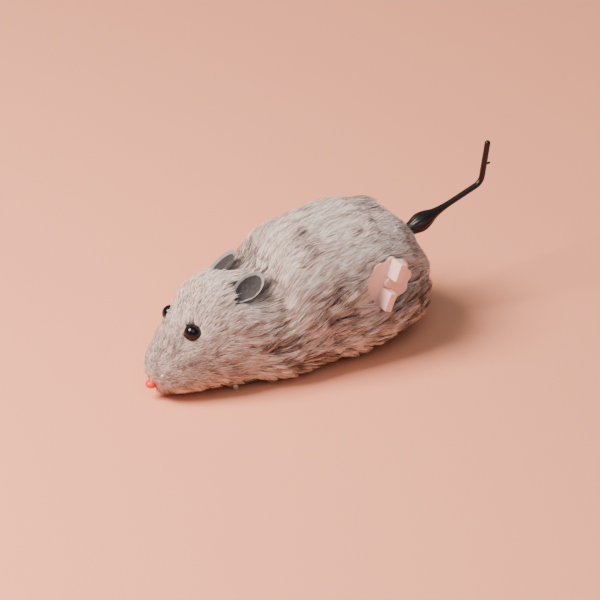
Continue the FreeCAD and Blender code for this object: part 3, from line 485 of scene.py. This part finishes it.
def over_pan(points):
    """Whether a point lies over the pan's opening under the belly."""
    share = np.clip((points[..., 1] - PAN_LOW[1]) / (PAN_HIGH[1] - PAN_LOW[1]), 0, 1)
    half = PAN_HIGH[0] * np.minimum(1, np.minimum(0.45 + 2.6 * share, 0.5 + 3.5 * (1 - share)))
    inside_y = (points[..., 1] > PAN_LOW[1]) & (points[..., 1] < PAN_HIGH[1])
    return (np.abs(points[..., 0]) < half) & inside_y & (points[..., 2] < PAN_OPENING_TOP)


def in_opening(points):
    """Whether the cloth is cut away: over the pan, at the wheels, the key's hub and the tail."""
    hub = (key_reach(points) < HUB_OPENING) & (points[..., 0] > 0)
    run, off = tail_place(points)
    return over_pan(points) | near_wheels(points) | hub | ((off < TAIL_OPENING) & (run > TAIL_START))


SKIN, SKIN_DISTANCE, SKIN_TURN = make_skin_grid()


def make_skin():
    """The backing cloth as a mesh, with its openings."""
    faces = []
    cut = in_opening(SKIN)
    for row in range(ROWS - 1):
        for column in range(COLUMNS):
            beside = (column + 1) % COLUMNS
            corners = ((row, column), (row, beside), (row + 1, beside), (row + 1, column))
            if not all(cut[c] for c in corners):
                faces.append([r * COLUMNS + c for r, c in corners][::-1])
    faces.append(list(range(COLUMNS)))
    faces.append([(ROWS - 1) * COLUMNS + c for c in range(COLUMNS)][::-1])
    skin = new_piece("plush_skin", SKIN.reshape(-1, 3), faces, "body")
    skin.data.materials.append(noisy_material(
        "plush_backing", (0.82, 0.71, 0.63), (0.60, 0.49, 0.42), 3.0, 0.95, 0.15, 40.0, Sheen_Weight=0.4))
    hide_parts("fur_cover")


# ---- Fur strands ----
STRANDS = 130000
STRAND_LEVELS = np.array((0.0, 0.3, 0.58, 0.82, 1.0))
STRAND_TAPER = np.array((1.0, 1.0, 0.85, 0.55))
STRAND_WIDTHS = (0.065, 0.105)
CLUMP_LENGTH = 2.3
CLUMP_WIDTH = 1.35
CLUMP_WARP = 1.1
CLUMP_ROW = 4096             # more than the clumps round the body
HEAD_END = 18.0
SHOULDER_END = 46.0
EYE_CLEAR = (("eye_left", 0.98), ("eye_right", 0.72))    # share of the bead that hairs keep out of
NOSE_CLEAR = 1.3
FUR_COLOURS = (
    ("fur_ivory", (0.95, 0.84, 0.77)),
    ("fur_cream", (0.80, 0.64, 0.55)),
    ("fur_sand", (0.49, 0.40, 0.355)),
    ("fur_taupe", (0.22, 0.172, 0.150)),
    ("fur_umber", (0.085, 0.062, 0.054)),
)
DYE_LIMITS = (0.28, 0.50, 0.74, 0.98)    # darkness at which one dye lot gives way to the next
FUR_LIGHT = 1.14
FUR_DARK = 0.66
FUR_BRIGHTEST = 0.97


def fur_material(name, colour):
    """One dye lot of the pile, taken up unevenly from place to place."""
    light = tuple(min(FUR_BRIGHTEST, FUR_LIGHT * part) for part in colour)
    dark = tuple(FUR_DARK * part for part in colour)
    return noisy_material(name, light, dark, 6.0, 0.75, Specular_IOR_Level=0.25, Sheen_Weight=0.15,
                          Sheen_Roughness=0.5)


def density(distance, turn):
    """Fewer, longer hairs under the body; more on the face."""
    face = 1 - ease(distance, 8.0, 20.0)
    return (1.0 + 0.9 * face) * (0.45 + 0.55 * ease(np.sin(turn), -1.0, -0.5))


def scatter(count, random):
    """Random places on the skin: grid values mixed from the corners of cells picked by area."""
    along, round_way, out = grid_frames(plush_grid()[0])
    below = np.roll(SKIN, -1, axis=1)
    area = np.linalg.norm(np.cross(SKIN[1:] - SKIN[:-1], below[:-1] - SKIN[:-1]), axis=-1)
    area = area * ~over_pan(SKIN[:-1]) * density(SKIN_DISTANCE[:-1], SKIN_TURN[:-1])
    chance = np.cumsum(area.ravel())
    pick = np.searchsorted(chance, random.uniform(0, chance[-1], count))
    row, column = np.divmod(pick, COLUMNS)
    u, v = random.uniform(size=(2, count, 1))
    beside = (column + 1) % COLUMNS

    def mixed(grid):
        """A grid's value at each place inside its cell."""
        low = grid[row, column] * (1 - u) + grid[row + 1, column] * u
        high = grid[row, beside] * (1 - u) + grid[row + 1, beside] * u
        return low * (1 - v) + high * v

    turn = SKIN_TURN[row, column] + v[:, 0] * 2 * math.pi / COLUMNS
    frames = [unit_rows(mixed(vector)) for vector in (along, round_way, out)]
    return mixed(SKIN), mixed(SKIN_DISTANCE[..., None])[:, 0], turn, frames


def clumps(roots, distance, turn, random):
    """Each strand's clump, four random numbers shared by the clump, and the warp of the cells."""
    count = len(roots)
    warp = np.stack([wave_noise(roots, 9.0, SEED + k) for k in (3, 4)], axis=1)
    arc = turn * np.interp(distance, STATIONS[:, 0], STATIONS[:, 3])
    along = np.floor((distance + CLUMP_WARP * warp[:, 0] + random.normal(0, 0.25, count)) / CLUMP_LENGTH)
    beside = np.floor((arc + CLUMP_WARP * warp[:, 1] + random.normal(0, 0.2, count)) / CLUMP_WIDTH)
    _, cells = np.unique(along.astype(int) * CLUMP_ROW + beside.astype(int), return_inverse=True)
    cells = cells.ravel()
    return cells, random.uniform(-1, 1, (cells.max() + 1, 4))[cells], warp


def clump_means(values, cells):
    """Each strand's clump mean of the given values."""
    count = np.bincount(cells)
    sums = np.stack([np.bincount(cells, values[:, k]) for k in range(values.shape[1])], axis=1)
    return (sums / count[:, None])[cells]


def strand_growth(distance, high, coarse, clump_random, warp, random):
    """Lean, length and lift of every strand: short on the face, long and hanging on the flanks."""
    count = len(distance)
    flank = bump_at(high, 0.05, 0.55)
    low = 1 - ease(high, -0.85, -0.35)
    lean = 0.45 * flank * ease(distance, 12.0, 30.0) - 0.85 * low
    lean = lean + 0.24 * clump_random[:, 0] * coarse + 0.2 * warp[:, 0] + random.normal(0, 0.12, count)
    length = 1.3 + 2.7 * ease(distance, 3.0, 24.0) + 1.3 * flank * ease(distance, 22.0, 40.0) + 1.6 * low
    length = length * (1 + 0.22 * clump_random[:, 1] * coarse + random.normal(0, 0.14, count))
    bridge = bump_at(distance, 10.5, 4.0) * ease(high, 0.75, 1.0)
    uneven = 1.0 + 0.26 * clump_random[:, 2] * coarse + random.normal(0, 0.15, count)
    lift = (skin_depth(distance) + 1.2 * bridge) * uneven
    return lean, length, lift, low


def strand_lines(roots, distance, turn, frames, random):
    """The points of every strand, and the random numbers of its clump."""
    along, round_way, out = frames
    high = np.sin(turn)
    cells, clump_random, warp = clumps(roots, distance, turn, random)
    coarse = 0.16 + 0.84 * ease(0.80 - high, 0.0, 0.6) * ease(distance, 8.0, 22.0)
    lean, length, lift, low = strand_growth(distance, high, coarse, clump_random, warp, random)
    up_way = round_way * np.where(np.cos(turn) >= 0, 1.0, -1.0)[:, None]
    comb = along * np.cos(lean)[:, None] + up_way * np.sin(lean)[:, None]
    s = STRAND_LEVELS[None, :, None]
    forward = comb[:, None] * (length[:, None, None] * (0.35 * s + 0.65 * s * s))
    outward = out[:, None] * (lift[:, None, None] * np.sin(s * math.pi / 2) ** 0.8)
    lines = roots[:, None] + forward + outward
    tips = clump_means(lines[:, -1], cells)
    pull = ((0.55 + 0.15 * clump_random[:, 3]) * coarse)[:, None, None] * s ** 1.6
    lines = lines + (tips[:, None] - lines[:, -1:]) * pull
    droop = 0.35 * low[:, None] * STRAND_LEVELS[None, :] ** 2
    lines[..., 2] = np.maximum(lines[..., 2] - droop, 0.3 + 0.2 * STRAND_LEVELS[None, :])
    return lines, clump_random


def near_key(lines):
    """Whether points lie over the key's disc, apart from its lower front edge."""
    reach = key_reach(lines)
    forward = (KEY_CENTRE[1] - lines[..., 1] + KEY_CENTRE[2] - lines[..., 2]) / np.maximum(reach, 0.1)
    limit = KEY_ROOM - 0.1 - (KEY_OVERLAP + 0.35) * ease(forward, 0.7, 1.3)
    return (reach < limit) & (lines[..., 0] > KEY_HIGH[0] - KEY_HAIR_DEPTH)


def near_tail(lines):
    """Whether points lie in the tail's spindle or bulb."""
    run, off = tail_place(lines)
    return (off < np.where(run > BULB_START, BULB_HAIR_ROOM, TAIL_HAIR_ROOM)) & (run > TAIL_START)


def near_beads(lines):
    """Whether points lie in an eye or in the nose."""
    low, high = node_box("nose_bead")
    middle, half = (low + high) / 2, (high - low) / 2
    middle[1], half[1] = low[1] + half[0], half[0]
    inside = np.linalg.norm((lines - middle) / (half * NOSE_CLEAR), axis=-1) < 1.0
    for name, share in EYE_CLEAR:
        inside |= np.linalg.norm(lines - eye_place(name), axis=-1) < EYE_RADIUS * share
    return inside


def in_ear(lines):
    """Whether points lie in the hollow of the left ear or just above it."""
    oval, height = ear_place(lines)
    return (oval < 0.97) & (height > -EAR_DEPTH - 0.4) & (height < EAR_CLEAR)


def keeps_clear(lines):
    """Which strands stay out of the way of the key, the tail, the wheels, the beads and the ears."""
    blocked = near_key(lines) | near_tail(lines) | near_wheels(lines) | near_beads(lines)
    blocked |= in_ear(lines) | in_ear(mirrored(lines))
    return ~blocked.any(axis=1)


def strand_colours(roots, distance, turn, clump_random, random):
    """The dye lot of each strand: pale on the crown, streaked with brown on the flanks, and darker as
    painted shade in the neck fold, the hollow behind it and the crease at the mouth.
    """
    high = np.sin(turn)
    side = ease(0.75 - high, 0.0, 0.5)
    flank = ease(0.8 - high, 0.0, 0.75) * ease(distance, 9.0, 26.0)
    back = ease(distance, 20.0, 32.0)
    patches = wave_noise(roots, 17.0, SEED + 7)
    streaks = wave_noise(roots * np.array((1.0, 0.36, 1.0)), 2.1, SEED + 8)
    dark = 0.25 + 0.06 * flank + (0.08 + 0.08 * back) * patches
    dark = dark + 0.30 * streaks * (0.34 + 0.38 * back + 0.28 * flank)
    dark = dark + 0.05 * back + 0.18 * (1 - ease(distance, 5.0, 15.0))
    dark = dark + 0.24 * bump_at(distance, 13.0, 6.0) * side
    dark = dark + 0.16 * clump_random[:, 0] * (0.4 + 0.6 * flank) + random.normal(0, 0.16, len(roots))
    dark = dark + 0.18 * ease(distance, 66.0, 80.0) * side
    # Painted shade: strands darkened in the fold at the neck.
    dark = dark + 0.16 * bump_at(distance, 31.5, 3.5) * ease(high, 0.0, 0.8)
    # Painted shade: strands darkened in the hollow behind the neck.
    dark = dark + 0.20 * bump_at(distance, 42.0, 4.0) * bump_at(turn, 1.25, 0.4)
    dark = dark + 0.32 * (random.uniform(size=len(roots)) < 0.13 * flank)
    # Painted shade: umber strands in the crease at the mouth beside the nose.
    mouth_crease_shade = bump_at(roots[:, 2], 4.2, 0.5) * (distance < 4.0)
    return np.digitize(dark + 0.7 * mouth_crease_shade, DYE_LIMITS)


def fur_regions(distance, turn):
    """Which strands go into each piece of the coat."""
    left, top = np.cos(turn) >= 0, np.sin(turn) > 0.6
    head, rear = distance < HEAD_END, distance >= SHOULDER_END
    shoulder = ~head & ~rear
    return {
        "fur_head_left": head & left,
        "fur_head_right": head & ~left,
        "fur_shoulders": shoulder & top,
        "fur_back": rear & top,
        "fur_flank_left_front": shoulder & ~top & left,
        "fur_flank_left_rear": rear & ~top & left,
        "fur_flank_right_front": shoulder & ~top & ~left,
        "fur_flank_right_rear": rear & ~top & ~left,
    }


def make_strands():
    """The pile: tapered ribbons in clumps, in one piece for each region of the body."""
    random = np.random.default_rng(SEED)
    roots, distance, turn, frames = scatter(STRANDS, random)
    lines, clump_random = strand_lines(roots, distance, turn, frames, random)
    colours = strand_colours(roots, distance, turn, clump_random, random)
    roll = random.uniform(-0.7, 0.7, len(roots))
    width = random.uniform(*STRAND_WIDTHS, len(roots)) * (0.75 + 0.25 * ease(distance, 4.0, 20.0))
    rough = 0.10 + 0.28 * ease(0.8 - np.sin(turn), 0.0, 0.7) * ease(distance, 8.0, 22.0)
    shading = unit_rows(frames[2] + random.normal(0, 1.0, (len(roots), 3)) * rough[:, None])
    materials = [fur_material(*colour) for colour in FUR_COLOURS]
    clear = keeps_clear(lines)
    for name, region in fur_regions(distance, turn).items():
        chosen = region & clear
        points = ribbon_points(lines[chosen], frames[2][chosen], roll[chosen], width[chosen])
        make_strand_piece(name, points, shading[chosen], colours[chosen], materials)


def ribbon_points(lines, out, roll, width):
    """Both edges of each ribbon at every level, and its tip."""
    way = unit_rows(np.gradient(lines, axis=1))
    side = unit_rows(np.cross(way, out[:, None]))
    face_way = np.cross(side, way)
    across = side * np.cos(roll)[:, None, None] + face_way * np.sin(roll)[:, None, None]
    spread = across[:, :-1] * (width[:, None] * STRAND_TAPER[None, :])[..., None]
    edges = np.stack([lines[:, :-1] - spread, lines[:, :-1] + spread], axis=2)
    return np.concatenate([edges.reshape(len(lines), -1, 3), lines[:, -1:]], axis=1)


def ribbon_mesh(name, points):
    """A mesh of ribbons from their points: bands of four corners, then a pointed tip each."""
    count, per = points.shape[:2]
    bands = np.array([(2 * k, 2 * k + 1, 2 * k + 3, 2 * k + 2) for k in range(per // 2 - 1)])
    start = (np.arange(count) * per)[:, None, None]
    quads = (bands[None] + start).reshape(-1, 4)
    tips = (np.array([(per - 3, per - 2, per - 1)])[None] + start).reshape(-1, 3)
    corners = np.concatenate([quads.ravel(), tips.ravel()])
    totals = np.concatenate([np.full(len(quads), 4), np.full(len(tips), 3)])
    starts = np.concatenate([[0], np.cumsum(totals)[:-1]])
    mesh = bpy.data.meshes.new(name)
    mesh.vertices.add(count * per)
    mesh.vertices.foreach_set("co", (points.reshape(-1) * MM).astype(np.float32))
    mesh.loops.add(len(corners))
    mesh.loops.foreach_set("vertex_index", corners.astype(np.int32))
    mesh.polygons.add(len(totals))
    mesh.polygons.foreach_set("loop_start", starts.astype(np.int32))
    return mesh, len(bands)


def make_strand_piece(name, points, shading, colours, materials):
    """One piece of the coat, with the dye lot of each strand and the coat's soft shading."""
    mesh, bands = ribbon_mesh(name, points)
    index = np.concatenate([np.repeat(colours, bands), colours])
    mesh.polygons.foreach_set("material_index", index.astype(np.int32))
    mesh.update(calc_edges=True)
    for material in materials:
        mesh.materials.append(material)
    mesh.shade_smooth()
    normals = unit_rows(np.repeat(shading, points.shape[1], axis=0))
    mesh.normals_split_custom_set_from_vertices([tuple(n) for n in normals])
    piece = bpy.data.objects.new(name, mesh)
    bpy.context.collection.objects.link(piece)
    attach(piece, "body")


# ---- Stuffing ----
WAD_VOXEL = 0.8
WAD_SHRINK = (0.05, 0.8)     # least and most that a wad's surface is drawn in


def make_wad(name, material):
    """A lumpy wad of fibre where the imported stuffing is, shrunk a little so it stays inside the skin."""
    source = frame["nodes"][name]
    mesh = bpy.data.meshes.new_from_object(source)
    mesh.transform(source.matrix_world)
    wad = bpy.data.objects.new(name + "_fibre", mesh)
    bpy.context.collection.objects.link(wad)
    remesh = wad.modifiers.new("remesh", "REMESH")
    remesh.mode = "VOXEL"
    remesh.voxel_size = WAD_VOXEL * MM
    soft = bpy.data.meshes.new_from_object(wad.evaluated_get(bpy.context.evaluated_depsgraph_get()))
    wad.modifiers.clear()
    wad.data = soft
    draw_in(soft)
    soft.shade_smooth()
    soft.materials.clear()
    soft.materials.append(material)
    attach(wad, "body")
    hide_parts(name)


def make_stuffing():
    """Both wads of white fibre."""
    wadding = noisy_material("wadding", (0.88, 0.87, 0.84), (0.74, 0.73, 0.70), 12.0, 0.95, 0.3, 25.0,
                             Sheen_Weight=0.5)
    for name in ("stuffing_head", "stuffing_back"):
        make_wad(name, wadding)


def draw_in(mesh):
    """Moves a wad's surface inwards by an uneven amount."""
    points = np.empty(len(mesh.vertices) * 3)
    normals = np.empty(len(mesh.vertices) * 3)
    mesh.vertices.foreach_get("co", points)
    mesh.vertex_normals.foreach_get("vector", normals)
    points, normals = points.reshape(-1, 3), normals.reshape(-1, 3)
    lump = 0.35 + 0.2 * wave_noise(points / MM, 5.0, SEED + 13)
    points = points - normals * (np.clip(lump, *WAD_SHRINK) * MM)[:, None]
    mesh.vertices.foreach_set("co", points.ravel())


# ---- Ears ----
def ear_point(side, outer, share, turn):
    """A point of the left ear's felt at a share of the way to the rim; each side has its own wobble."""
    axis, across, opening, middle = ear_frame()
    run = math.sin(turn)
    narrow = 1.0 - 0.22 * max(0.0, -run)
    wobble = 1 + 0.025 * math.sin(3 * turn + side)
    place = across * (EAR_WIDTH / 2 * share * math.cos(turn) * narrow * wobble)
    place = place + axis * (EAR_LENGTH / 2 * share * run * wobble)
    cup = EAR_DEPTH * (share ** 2.2) * (1 + 0.12 * math.cos(turn)) - EAR_DEPTH
    roll = EAR_FELT * (0.5 - 0.5 * share ** 8)
    return middle + place + opening * (cup + (-roll if outer else roll))


def ear_points(side):
    """The inner and the outer layer of the left ear, slightly uneven."""
    points = np.array([
        ear_point(side, outer, ring / EAR_RINGS, 2 * math.pi * spoke / EAR_SPOKES)
        for outer in (False, True) for ring in range(EAR_RINGS + 1) for spoke in range(EAR_SPOKES)])
    uneven = 0.07 * wave_noise(points, 1.6, SEED + 11)
    return points + unit_rows(points - ear_frame()[3]) * uneven[:, None]


def ear_faces():
    """Faces of both layers and of the rim that joins them."""
    layer = (EAR_RINGS + 1) * EAR_SPOKES
    rim = EAR_RINGS * EAR_SPOKES
    faces = []
    for start, turned in ((0, False), (layer, True)):
        for ring in range(EAR_RINGS):
            low, high = start + ring * EAR_SPOKES, start + (ring + 1) * EAR_SPOKES
            for spoke in range(EAR_SPOKES):
                beside = (spoke + 1) % EAR_SPOKES
                face = [low + spoke, high + spoke, high + beside, low + beside]
                faces.append(face[::-1] if turned else face)
    for spoke in range(EAR_SPOKES):
        beside = (spoke + 1) % EAR_SPOKES
        faces.append([rim + spoke, layer + rim + spoke, layer + rim + beside, rim + beside])
    return faces


def make_ear(name, side, materials):
    """A cupped oval of felt with a soft rolled rim, its hollow darkened with painted shade, sewn in at its
    narrow end.
    """
    points, faces = ear_points(side), ear_faces()
    if side < 0:
        points, faces = mirrored(points), [face[::-1] for face in faces]
    ear = new_piece(name + "_felt", points, faces, "body")
    for material in materials:
        ear.data.materials.append(material)
    # The faces deep in the hollow take the darker felt: painted shade in the cup.
    shaded_faces = int(EAR_SHADED_SHARE * EAR_RINGS) * EAR_SPOKES
    for polygon in ear.data.polygons[:shaded_faces]:
        polygon.material_index = 1
    weld(ear)
    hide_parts(name)


def make_ears():
    """Both ears, in grey felt, with darker felt in the hollow as painted shade."""
    felt = [
        noisy_material("felt_grey", (0.34, 0.33, 0.33), (0.20, 0.19, 0.19), 18.0, 0.95, 0.12, 50.0,
                       Sheen_Weight=0.3),
        # Darker felt for the ear's hollow: painted shade.
        noisy_material("felt_painted_shade", (0.066, 0.060, 0.060), (0.022, 0.020, 0.020), 14.0, 0.95, 0.12, 50.0,
                       Sheen_Weight=0.1),
    ]
    for name, side in (("ear_left", 1), ("ear_right", -1)):
        make_ear(name, side, felt)


# ---- Tail ----
# Run along the spindle's line behind the crown wheel, and radius there.
TAIL_PROFILE = np.array((
    (13.2, 1.8), (16.9, 1.8), (18.0, 2.25), (19.9, 2.75), (22.2, 2.35), (24.6, 1.35),
    (27.2, 0.95), (29.5, 0.8),
))
TAIL_ROD = 0.8
TAIL_BEND_RADIUS = 3.2
TAIL_BEND_Y = 51.3
TAIL_TIP_Y = 53.2
TAIL_BEND_STEPS = 15
TAIL_SIDES = 84
TAIL_RIBS = 14
RIB_DEPTH = 0.1              # as a share of the radius
RIB_MIDDLE, RIB_SPREAD = 20.6, 2.7
NIB_RADIUS = 0.3
NIB_LENGTH = 1.6
NIB_RISE = 5.4
NIB_SIDES = 20


def tail_corner():
    """Where the tail's two straight lines would meet, the way up from there, and how far up it goes."""
    tip = np.array((0.0, TAIL_TIP_Y, node_box("tail")[1][2] - TAIL_ROD))
    corner = TAIL_CENTRE + TAIL_AXIS * ((TAIL_BEND_Y - TAIL_CENTRE[1]) / TAIL_AXIS[1])
    reach = np.linalg.norm(tip - corner)
    return corner, (tip - corner) / reach, reach


def bend_points(start, rise, turn):
    """The arc between the tail's two straight stretches."""
    inward = rise - TAIL_AXIS * (rise @ TAIL_AXIS)
    inward /= np.linalg.norm(inward)
    angles = [turn * step / TAIL_BEND_STEPS for step in range(1, TAIL_BEND_STEPS)]
    return [start + TAIL_BEND_RADIUS * (TAIL_AXIS * math.sin(angle) + inward * (1 - math.cos(angle)))
            for angle in angles]


def tail_path():
    """The middle line of the tail, and the radius and rib depth at each point of it."""
    corner, rise, reach = tail_corner()
    turn = math.acos(float(np.clip(TAIL_AXIS @ rise, -1, 1)))
    trim = TAIL_BEND_RADIUS * math.tan(turn / 2)
    bend = (TAIL_BEND_Y - TAIL_CENTRE[1]) / TAIL_AXIS[1]
    first, last = TAIL_PROFILE[0, 0], TAIL_PROFILE[-1, 0]
    runs = np.concatenate([np.linspace(first, last, 70), np.linspace(last + 0.4, bend - trim, 12)])
    radii = np.interp(runs, TAIL_PROFILE[:, 0], TAIL_PROFILE[:, 1])
    radii = list(np.convolve(np.pad(radii, 4, mode="edge"), np.ones(9) / 9, "valid"))
    ribs = list(RIB_DEPTH * bump_at(runs, RIB_MIDDLE, RIB_SPREAD))
    line = [TAIL_CENTRE + TAIL_AXIS * run for run in runs]
    line += bend_points(corner - TAIL_AXIS * trim, rise, turn)
    line += [corner + rise * run for run in np.linspace(trim, reach, 14)]
    radii += [TAIL_ROD] * (len(line) - len(radii))
    for share in (0.5, 0.8, 0.97):
        line.append(corner + rise * (reach + TAIL_ROD * share))
        radii.append(TAIL_ROD * math.sqrt(1 - share * share))
    ribs += [0.0] * (len(line) - len(ribs))
    return np.array(line), np.array(radii), np.array(ribs)


def tube_mesh(line, radii, ribs, sides):
    """Points and faces of a closed tube in the plane of the tail."""
    way = unit_rows(np.gradient(line, axis=0))
    side = np.array((1.0, 0.0, 0.0))
    points, faces = [], []
    for place, along, radius, rib in zip(line, way, radii, ribs):
        over = np.cross(along, side)
        for step in range(sides):
            turn = 2 * math.pi * step / sides
            reach = radius * (1 + rib * (abs(math.cos(TAIL_RIBS * turn / 2)) - 1))
            points.append(place + reach * (side * math.cos(turn) + over * math.sin(turn)))
    for ring in range(len(line) - 1):
        low, high = ring * sides, (ring + 1) * sides
        for step in range(sides):
            beside = (step + 1) % sides
            faces.append([low + step, low + beside, high + beside, high + step])
    faces.append(list(range(sides))[::-1])
    faces.append([(len(line) - 1) * sides + step for step in range(sides)])
    return points, faces


def nib_mesh():
    """The small moulding nib near the tail's end."""
    corner, rise, _ = tail_corner()
    foot = corner + rise * NIB_RISE
    shares = (0, 0.5, 0.85, 0.97, 1)
    line = np.array([foot + np.array((0, share * (NIB_LENGTH + 0.4), 0)) for share in shares])
    radii = NIB_RADIUS * np.array((1, 1, 1, 0.75, 0.3))
    return tube_mesh(line, radii, np.zeros(len(shares)), NIB_SIDES)


def make_tail():
    """The black moulded tail: ribbed bulb, bent rod and the small nib near its end."""
    points, faces = tube_mesh(*tail_path(), TAIL_SIDES)
    nib_points, nib_faces = nib_mesh()
    faces += [[index + len(points) for index in face] for face in nib_faces]
    tail = new_piece("tail_moulding", np.array(points + nib_points), faces, "tail_set")
    tail.data.materials.append(noisy_material(
        "tail_black", (0.010, 0.009, 0.009), (0.005, 0.004, 0.004), 8.0, 0.34, 0.02, 20.0,
        Specular_IOR_Level=0.4))
    weld(tail)
    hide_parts("tail")


# ---- Looks ----
# CAD nodes that keep their shape: material, light and dark colour, then the colour noise's scale,
# roughness, depth and scale of the relief, and any other sockets.
CAD_LOOKS = (
    (("eye_left", "eye_right"),
     "bead_black", (0.006, 0.005, 0.006), (0.003, 0.003, 0.003), (8.0, 0.13, 0.01, 20.0),
     {"Specular_IOR_Level": 0.32}),
    (("nose_bead",),
     "bead_coral", (0.80, 0.040, 0.014), (0.68, 0.030, 0.010), (6.0, 0.45, 0.02, 20.0), {}),
    (("whisker_knots",),
     "thread_white", (0.82, 0.80, 0.77), (0.55, 0.52, 0.48), (30.0, 0.85, 0.08, 60.0), {}),
    (("winding_arbor", "second_arbor", "crown_arbor", "drive_axle", "tail_spindle", "case_screws",
      "pan_screws"),
     "steel_drawn", (0.66, 0.66, 0.67), (0.52, 0.52, 0.53), (20.0, 0.3, 0.01, 80.0), {"Metallic": 1.0}),
    (("mainspring", "click_spring"),
     "steel_blued", (0.30, 0.33, 0.40), (0.20, 0.22, 0.28), (12.0, 0.32, 0.01, 60.0), {"Metallic": 1.0}),
    (("tail_bush", "ratchet_wheel", "click"),
     "brass_turned", (0.80, 0.62, 0.30), (0.66, 0.49, 0.22), (14.0, 0.28, 0.01, 60.0), {"Metallic": 1.0}),
    (("great_wheel", "second_wheel", "crown_wheel", "axle_pinion", "tail_pinion"),
     "acetal_white", (0.84, 0.82, 0.76), (0.76, 0.74, 0.67), (5.0, 0.42, 0.02, 30.0), {}),
    (("case_left", "case_right", "mid_plate"),
     "case_white", (0.78, 0.77, 0.73), (0.70, 0.69, 0.65), (4.0, 0.5, 0.03, 40.0), {}),
    (("base_pan",),
     "pan_dark", (0.075, 0.070, 0.066), (0.050, 0.047, 0.045), (6.0, 0.55, 0.04, 60.0), {}),
    (("glide_feet",),
     "nylon_clear", (0.80, 0.78, 0.74), (0.70, 0.68, 0.64), (6.0, 0.35, 0.02, 30.0),
     {"Transmission_Weight": 0.25}),
    (("wheel_left", "wheel_right"),
     "wheel_black", (0.10, 0.10, 0.10), (0.07, 0.07, 0.07), (8.0, 0.45, 0.03, 40.0), {}),
    (("tyre_left", "tyre_right"),
     "tyre_rubber", (0.040, 0.038, 0.037), (0.022, 0.021, 0.020), (10.0, 0.8, 0.06, 50.0), {}),
    (("winding_key",),
     "key_pink", (0.93, 0.66, 0.58), (0.88, 0.59, 0.51), (3.0, 0.38, 0.015, 20.0),
     {"Subsurface_Weight": 0.25, "Subsurface_Scale": 0.002}),
)


def dress_frame():
    """Materials of the CAD nodes whose shape is right."""
    for nodes, name, light, dark, finish, sockets in CAD_LOOKS:
        dress(nodes, noisy_material(name, light, dark, *finish, **sockets))


make_camera()
make_floor()
make_lights()
make_skin()
make_strands()
dress_frame()
make_stuffing()
make_tail()
make_ears()
